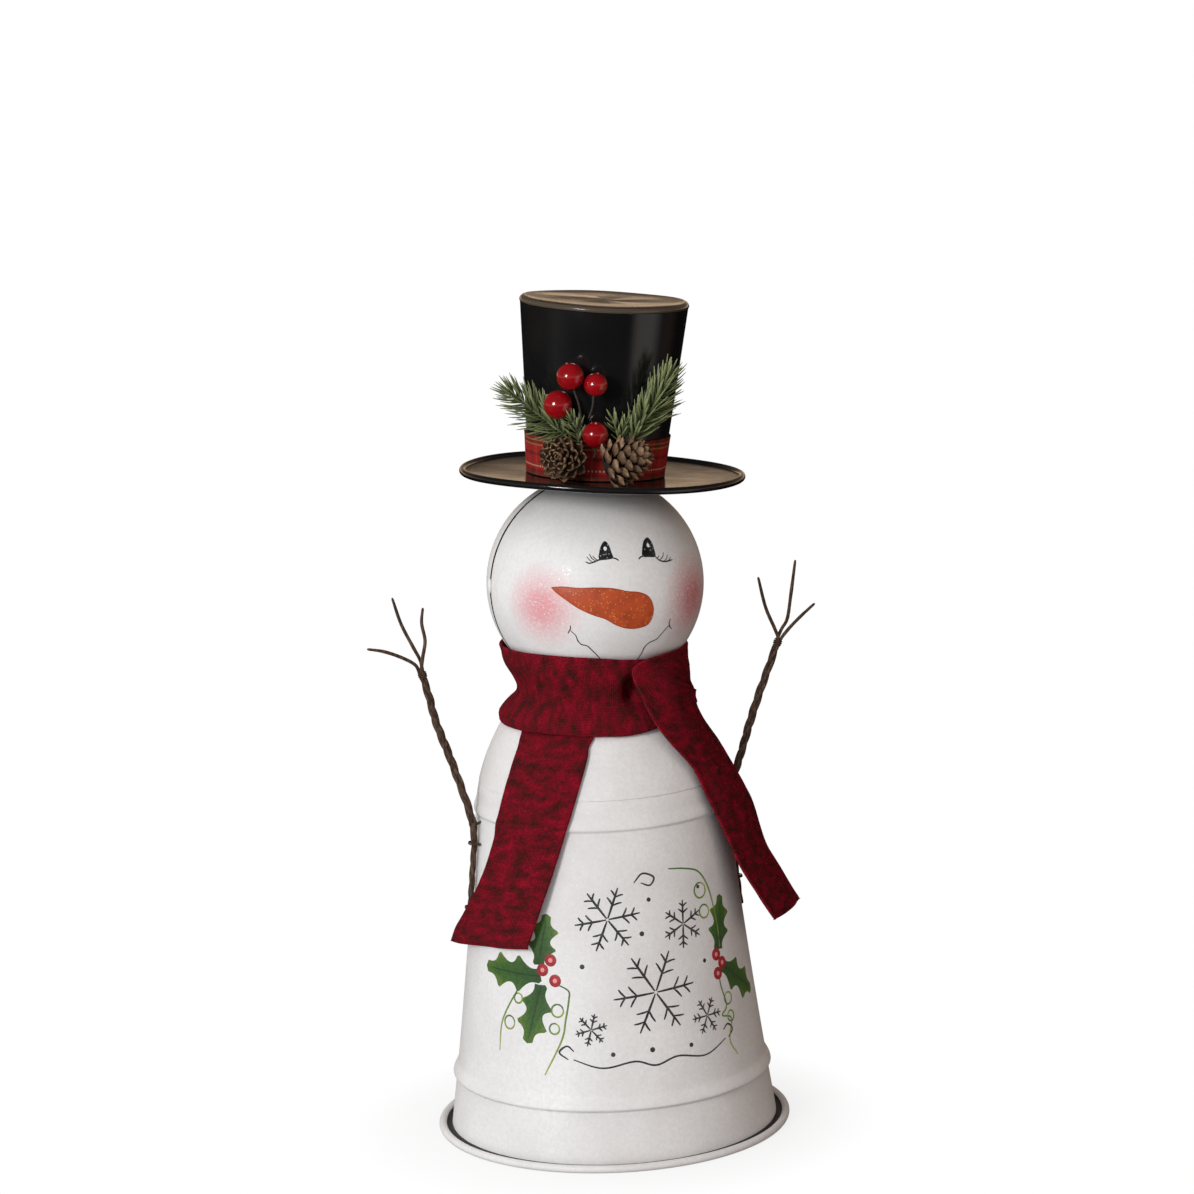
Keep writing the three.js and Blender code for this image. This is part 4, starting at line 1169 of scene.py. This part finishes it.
LEFT_EYE = [(-13.8, 22.0), (-13.5, 25.5), (-12.2, 29.2), (-9.7, 31.6), (-7.6, 29.3), (-6.6, 25.6),
            (-6.0, 22.2), (-9.8, 21.5)]
RIGHT_EYE = [(11.3, 21.5), (12.3, 25.5), (14.6, 29.4), (18.2, 31.1), (19.9, 28), (20.1, 24.3),
             (19.5, 20.4), (15.2, 20.6)]
NOSE = [(-39.8, 7.6), (-33.3, 8.0), (-25.6, 7.3), (-16, 7.2), (-7.3, 6.3), (-0.1, 4.3), (6.5, 3.1),
        (11.7, 0.3), (14.2, -4.6), (14.3, -9.6), (12, -14.2), (7.6, -15.7), (1.4, -15.7), (-5.5, -13.4),
        (-11.9, -9.3), (-18.2, -6.8), (-26, -2.8), (-32.2, 1.6), (-37.1, 5.0)]
# Lashes, then the two ends of the smile with their ticks: each path with its brush width.
FACE_STROKES = [
    ([(-5.6, 22.3), (-9.5, 21.9), (-13.8, 21.6), (-17.1, 20.5), (-19.5, 20.1), (-21.3, 20.9)], 1.0),
    ([(-15.6, 21.1), (-17.8, 22.6), (-19.1, 24.9)], 0.6),
    ([(-17.4, 20.6), (-19.2, 21.9), (-20.6, 23.6)], 0.55),
    ([(-14.6, 21.5), (-16, 22.4), (-17.3, 23.9)], 0.55),
    ([(-6.3, 22.2), (-4.4, 21.7), (-3.0, 20.6)], 0.9),
    ([(19.2, 20.6), (21.6, 18.1), (25.4, 16.9), (30.9, 17.0)], 1.0),
    ([(21.8, 18.2), (24.4, 19.6), (25.8, 21.8)], 0.6),
    ([(24.6, 17.2), (27, 18.4), (28.2, 20.2)], 0.55),
    ([(26.8, 16.9), (29, 17.6), (30, 18.8)], 0.5),
    ([(20.2, 19.6), (21.3, 19.8), (22.2, 20.6)], 0.5),
    ([(12, 21.6), (10.1, 21.2), (8.6, 20.2)], 0.9),
    ([(-30.7, -12.4), (-30.9, -14.3), (-32.5, -16.9)], 0.75),
    ([(-30.8, -15.5), (-28.4, -18.1), (-27.5, -21.3), (-25.6, -23.7), (-22.6, -24.6), (-20.2, -27.3),
      (-17.6, -30.5), (-15, -34), (-13, -37)], 0.75),
    ([(8.6, -38), (9.9, -35.3), (11.1, -32.2), (12.1, -28.4), (14.6, -25.9), (19, -24.5), (22, -21.7),
      (24.6, -18.9), (26.8, -17.3)], 0.8),
    ([(26.7, -13.6), (26.2, -15.7), (27.1, -18), (29.3, -19.9)], 0.8),
]


def add_face():
    eyes, whites, lines = Shape(), Shape(), Shape()
    for outline in (LEFT_EYE, RIGHT_EYE):
        eyes.fill(on_head, smooth(outline, 40, closed=True), (1.6, 1.6))
    eyes.build("painted_eyes", EYE_BLACK)
    turn = np.linspace(0, 2 * math.pi, 20)[:-1]
    for centre in ((-9.9, 27.4), (16.7, 26.8)):
        ring = centre + np.column_stack([np.cos(turn), 1.1 * np.sin(turn)])
        whites.fill(raised(on_head, PAINT_LIFT), ring, (0.7, 0.7))
    whites.build("painted_eye_lights", EYE_WHITE)
    for path, width in FACE_STROKES:
        lines.stroke(on_head, path, width, taper=0.5)
    lines.build("painted_lashes_and_smile", CHARCOAL)
    carrot = Shape().fill(on_head, smooth(NOSE, 150, closed=True), (2.0, 2.0), lift=0.3)
    carrot.build("painted_nose", ORANGE)
    rim = Shape().stroke(raised(on_head, 0.04), [*NOSE, NOSE[0]], 0.7, 220, taper=0.2)
    rim.build("painted_nose_edge", ORANGE_EDGE)


def holly_leaf(leaves, veins, base, tip, width, lobes=3):
    """A leaf with pointed lobes, between two (angle, height) points on the wall."""
    scale = 180 / math.pi / float(body_radius((base[1] + tip[1]) / 2))
    start, end = (np.array([angle / scale, z]) for angle, z in (base, tip))
    along = end - start
    across = np.array([-along[1], along[0]]) / np.linalg.norm(along)
    right, left = [], []
    for k in range(lobes * 8 + 1):
        t = k / (lobes * 8)
        wave = abs(((t * lobes + 0.45) % 1) - 0.5) * 2
        spike = (1 - wave) ** 2
        half = width / 2 * math.sin(math.pi * min(t * 0.94 + 0.03, 1)) ** 0.6 * (0.45 + 0.55 * spike)
        if t > 0.97:
            half = 0.05
        forward = along * (t + 0.045 * spike * (t < 0.9))
        right.append(start + forward + across * half)
        left.append(start + forward - across * half)

    def uv(p):
        q = np.array([p[0] / scale, p[1]]) - start
        side = abs(q @ across) / (width / 2)
        return 0.5, min(q @ along / (along @ along) * 0.6 + side * 0.45, 1.0)

    outline = np.array(right + left[::-1][1:-1]) * [scale, 1]
    leaves.fill(on_body, outline, (1.6 * scale, 1.6), lift=0.14, uv=uv)
    vein = [[lerp(base[k], tip[k], t) for k in (0, 1)] for t in (0.05, 0.35, 0.65, 0.9)]
    veins.stroke(raised(on_body, 0.1), vein, 0.7)


def ring_path(centre, size, start=0.0, turns=1.05, steps=14):
    """A loop on the wall round an (angle, height) point, size in millimetres."""
    scale = mm_to_degrees(1, centre[1])
    angles = [start + 2 * math.pi * turns * k / steps for k in range(steps + 1)]
    return [(centre[0] + size * scale * math.cos(a), centre[1] + size * math.sin(a)) for a in angles]


def add_dot(shape, centre, size, steps, spacing, rise=0.0, lift=PAINT_LIFT):
    """A round dot of paint on the wall, size and spacing in millimetres."""
    scale = mm_to_degrees(1, centre[1])
    disc = np.array(ring_path(centre, size, steps=steps, turns=1.0)[:-1])
    shape.fill(raised(on_body, rise), disc, (spacing * scale, spacing), lift)


# Each leaf: its base, its tip and its width.
LEAVES = [
    ((-46, 120), (-42, 153), 23),
    ((-43, 115), (-75, 115), 26),
    ((-44, 112), (-50.3, 73.5), 26),
    ((34.5, 119), (41, 153), 24),
    ((34, 113), (59, 86), 25),
]
BERRY_DOTS = [(-40.3, 125.2), (-43.8, 119), (-38.3, 113), (33.1, 118.4), (36.2, 112.4), (32.7, 106.9)]
TENDRILS = [
    [(12.3, 176.6), (20, 175), (27.9, 171.2), (32.7, 161.7), (35.2, 148), (36.3, 135.2), (36, 122)],
    [(33.5, 106), (33.5, 99.2), (35.4, 86.1), (32.1, 81.2), (37.3, 77.3), (34.6, 64.8), (38.1, 54.6)],
    [(-39.8, 112), (-33, 107.7), (-32.6, 101.7), (-33.9, 89.7), (-35.5, 77.6), (-42.2, 55.8)],
    [(-53, 108), (-55.6, 104.6), (-62.8, 84.6), (-63.6, 66)],
]
# Each curl: its centre, its size and where its loop starts.
CURLS = [
    ((27.9, 159.5), 4.6, 1.2),
    ((29, 146.3), 4.0, 0.4),
    ((37, 90), 3.6, 2.2),
    ((37.2, 79), 3.2, 3.0),
    ((-37.3, 95), 3.8, 0.2),
    ((-38.5, 84), 3.2, 1.0),
    ((-59, 84.4), 4.0, 0.0),
    ((-55, 100), 3.0, 1.6),
]


def add_holly():
    leaves, veins, reds, pinks, vines = (Shape() for _ in range(5))
    for leaf in LEAVES:
        holly_leaf(leaves, veins, *leaf)
    for centre in BERRY_DOTS:
        add_dot(reds, centre, 3.8, 26, 1.5, rise=0.12)
        add_dot(pinks, centre, 1.4, 18, 0.9, rise=0.26, lift=0.1)
    for path in TENDRILS + [ring_path(*curl) for curl in CURLS]:
        vines.stroke(on_body, path, 1.2, taper=0.4)
    leaves.build("painted_holly_leaves", LEAF)
    veins.build("painted_holly_veins", LEAF_VEIN)
    reds.build("painted_berries", DOT_RED)
    pinks.build("painted_berry_lights", DOT_PINK)
    vines.build("painted_tendrils", VINE)


# Hand-drawn snowflakes and flourishes, where the figure carries its painted greeting.
# Each flake: its centre, its size, its tilt in degrees and its brush width. Each dot: its centre and size.
SNOWFLAKES = [
    ((-16, 150), 20, 8, 1.5),
    ((17, 142), 14.5, 24, 1.4),
    ((2, 104), 26, 4, 1.6),
    ((-24, 84), 10, 15, 1.2),
    ((24, 84), 11.5, 0, 1.2),
]
FLOURISHES = [
    [(-31, 66), (-20, 61), (-8, 64), (0, 60.5), (9, 64), (21, 61), (32, 67)],
    [(-4, 171), (0, 176), (5, 173), (3, 168.5), (-1, 170.5)],
    [(-33, 66), (-36.5, 70), (-33.5, 74), (-30.8, 71)],
    [(34, 67), (37, 71), (34.5, 75), (31.6, 72.5)],
]
SNOW_DOTS = [((-2, 140), 1.5), ((2, 160), 1.3), ((-27, 122), 1.5), ((26, 117), 1.3), ((-16, 69), 1.4),
             ((15, 69), 1.4), ((-1, 70), 1.6), ((27, 162), 1.2)]


def add_snowflake(shape, centre, size, tilt, width):

    def stroke(points, brush):
        path = [(centre[0] + mm_to_degrees(x, centre[1]), centre[1] + y) for x, y in points]
        shape.stroke(on_body, path, brush)

    for arm in range(6):
        a = math.radians(tilt + 60 * arm)
        out = np.array([math.cos(a), math.sin(a)])
        side = np.array([-out[1], out[0]])
        wobble = 0.03 * size * math.sin(arm * 2.3)
        stroke([(out * size + side * wobble) * s for s in (0.04, 0.4, 0.72, 1)], width)
        for reach, branch in ((0.45, 0.24), (0.72, 0.2)):
            for way in (-1, 1):
                foot = out * size * reach
                tip = foot + (out * 0.75 + side * way) * size * branch
                stroke([foot, (foot + tip) / 2 + out * 0.3, tip], width * 0.8)


def add_snowflakes():
    flakes, dots = Shape(), Shape()
    for flake in SNOWFLAKES:
        add_snowflake(flakes, *flake)
    for path in FLOURISHES:
        flakes.stroke(on_body, path, 1.3)
    for centre, size in SNOW_DOTS:
        add_dot(dots, centre, size, 14, 0.8)
    flakes.build("painted_snowflakes", CHARCOAL)
    dots.build("painted_snow_dots", CHARCOAL)


# Setting: a pale floor, soft light, and a world that is pale to the camera and warm in reflections.


def add_floor():
    m = Paint("studio_floor", (0.86, 0.86, 0.86), 0.9)
    reach, sides = 3.2, 64
    near = m.math("DIVIDE", m.measure("LENGTH", m.object), 1.1)
    glow = m.node("Emission", {"Color": (1, 1, 1, 1), "Strength": 1.0})
    fade = m.ramp(near, [(0.1, 0.82), (0.15, 1.0)])
    blend = m.node("MixShader", {0: fade, 1: m.shader.outputs[0], 2: glow})
    m.link(blend, m.tree.nodes["Material Output"].inputs["Surface"])
    angles = [2 * math.pi * k / sides for k in range(sides)]
    ring = [(reach * math.cos(a), reach * math.sin(a), 0) for a in angles]
    mesh = bpy.data.meshes.new("studio_floor")
    mesh.from_pydata(ring, [], [list(range(sides))])
    mesh.materials.append(m.material)
    floor = bpy.data.objects.new("studio_floor", mesh)
    scene.collection.objects.link(floor)
    floor.visible_glossy = False
    floor.visible_diffuse = False


def add_light(name, location, target, size, power, color):
    """A round soft light, in metres and watts."""
    data = bpy.data.lights.new(name, "AREA")
    data.shape, data.size, data.energy, data.color = "DISK", size, power, color
    lamp = bpy.data.objects.new(name, data)
    lamp.location = location
    lamp.rotation_euler = (Vector(target) - Vector(location)).to_track_quat("-Z", "Y").to_euler()
    scene.collection.objects.link(lamp)
    return lamp


def add_world():
    """White to the camera; a dim warm room with a low glow in reflections; soft light from the left."""
    world = bpy.data.worlds.new("studio")
    scene.world = world
    world.use_nodes = True
    m = Nodes(world.node_tree)
    black, dim, glow = (0.006, 0.006, 0.006), (0.03, 0.03, 0.03), (0.9, 0.64, 0.42)
    dark, strong = (0, 0, 0), (0.6, 0.57, 0.53)

    direction = m.node("TexCoord", output="Generated")
    east, north, height = (m.axis(direction, k) for k in range(3))
    room = m.ramp(m.share(height), [
        (0.0, black), (0.49, black), (0.505, glow), (0.536, glow), (0.556, (0.23, 0.165, 0.115)),
        (0.6, (0.12, 0.085, 0.06)), (0.675, (0.12, 0.09, 0.07)), (0.76, dim), (1.0, dim),
    ])
    toward = m.math("ARCTAN2", east, m.times(north, -1.0))
    panel = m.ramp(m.math("MULTIPLY_ADD", toward, 1 / (2 * math.pi), 0.5), [
        (0.0, dark), (0.2, dark), (0.25, (0.12, 0.115, 0.11)), (0.33, dark), (0.56, dark), (0.59, strong),
        (0.655, strong), (0.7, (0.05, 0.05, 0.05)), (0.74, (0.1, 0.06, 0.045)), (0.8, dark),
    ])
    level = m.ramp(m.share(height), [(0.12, 0.0), (0.25, 1.0), (0.5, 1.0), (0.6, 0.0)])
    mirrored = m.mix(1.0, room, m.mix(1.0, panel, level, "MULTIPLY"), "ADD")
    from_left = m.share(m.measure("DOT_PRODUCT", direction, (-0.83, -0.5, 0.25)))
    soft = m.ramp(from_left, [
        (0.0, (0.06, 0.04, 0.03)), (0.35, (0.16, 0.112, 0.085)), (0.6, (0.46, 0.445, 0.43)),
        (1.0, (0.76, 0.78, 0.8)),
    ])
    rays = m.tree.nodes.new("ShaderNodeLightPath").outputs
    lit = m.mix(rays["Is Glossy Ray"], soft, mirrored)
    seen = m.mix(rays["Is Camera Ray"], lit, (1.0, 1.0, 1.0))
    m.link(seen, m.tree.nodes["Background"].inputs["Color"])


def finish_cad_nodes():
    """Materials for the CAD nodes that stay as they are."""
    kept = {"bolt": STEEL, "washer": STEEL, "nut": STEEL, "joint_strip": SEAM_DARK, "tack": WHITE}
    for name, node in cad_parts.items():
        for word, material in kept.items():
            if word in name:
                node.data.materials.clear()
                node.data.materials.append(material)


add_wall()
add_cap()
add_wall_seam()
add_neck()
add_head()
add_brim()
add_crown()
add_lid()
add_ribbon()
add_pick()
for arm_name, arm in ARMS.items():
    add_arm(arm_name, *arm)
add_clips()
add_scarf()
add_face()
add_holly()
add_snowflakes()
finish_cad_nodes()
add_floor()
add_world()
add_light("key", (-2.15, -1.8, 1.25), (0, 0, 0.25), 0.8, 42.5, (1.0, 0.99, 0.98))
add_light("fill", (1.8, -1.2, 0.9), (0, 0, 0.25), 1.4, 4.6, (1.0, 0.8, 0.68)).visible_glossy = False
add_light("back", (-1.0, 1.8, 1.5), (0, 0, 0.3), 1.2, 8, (1.0, 0.95, 0.9)).visible_glossy = False
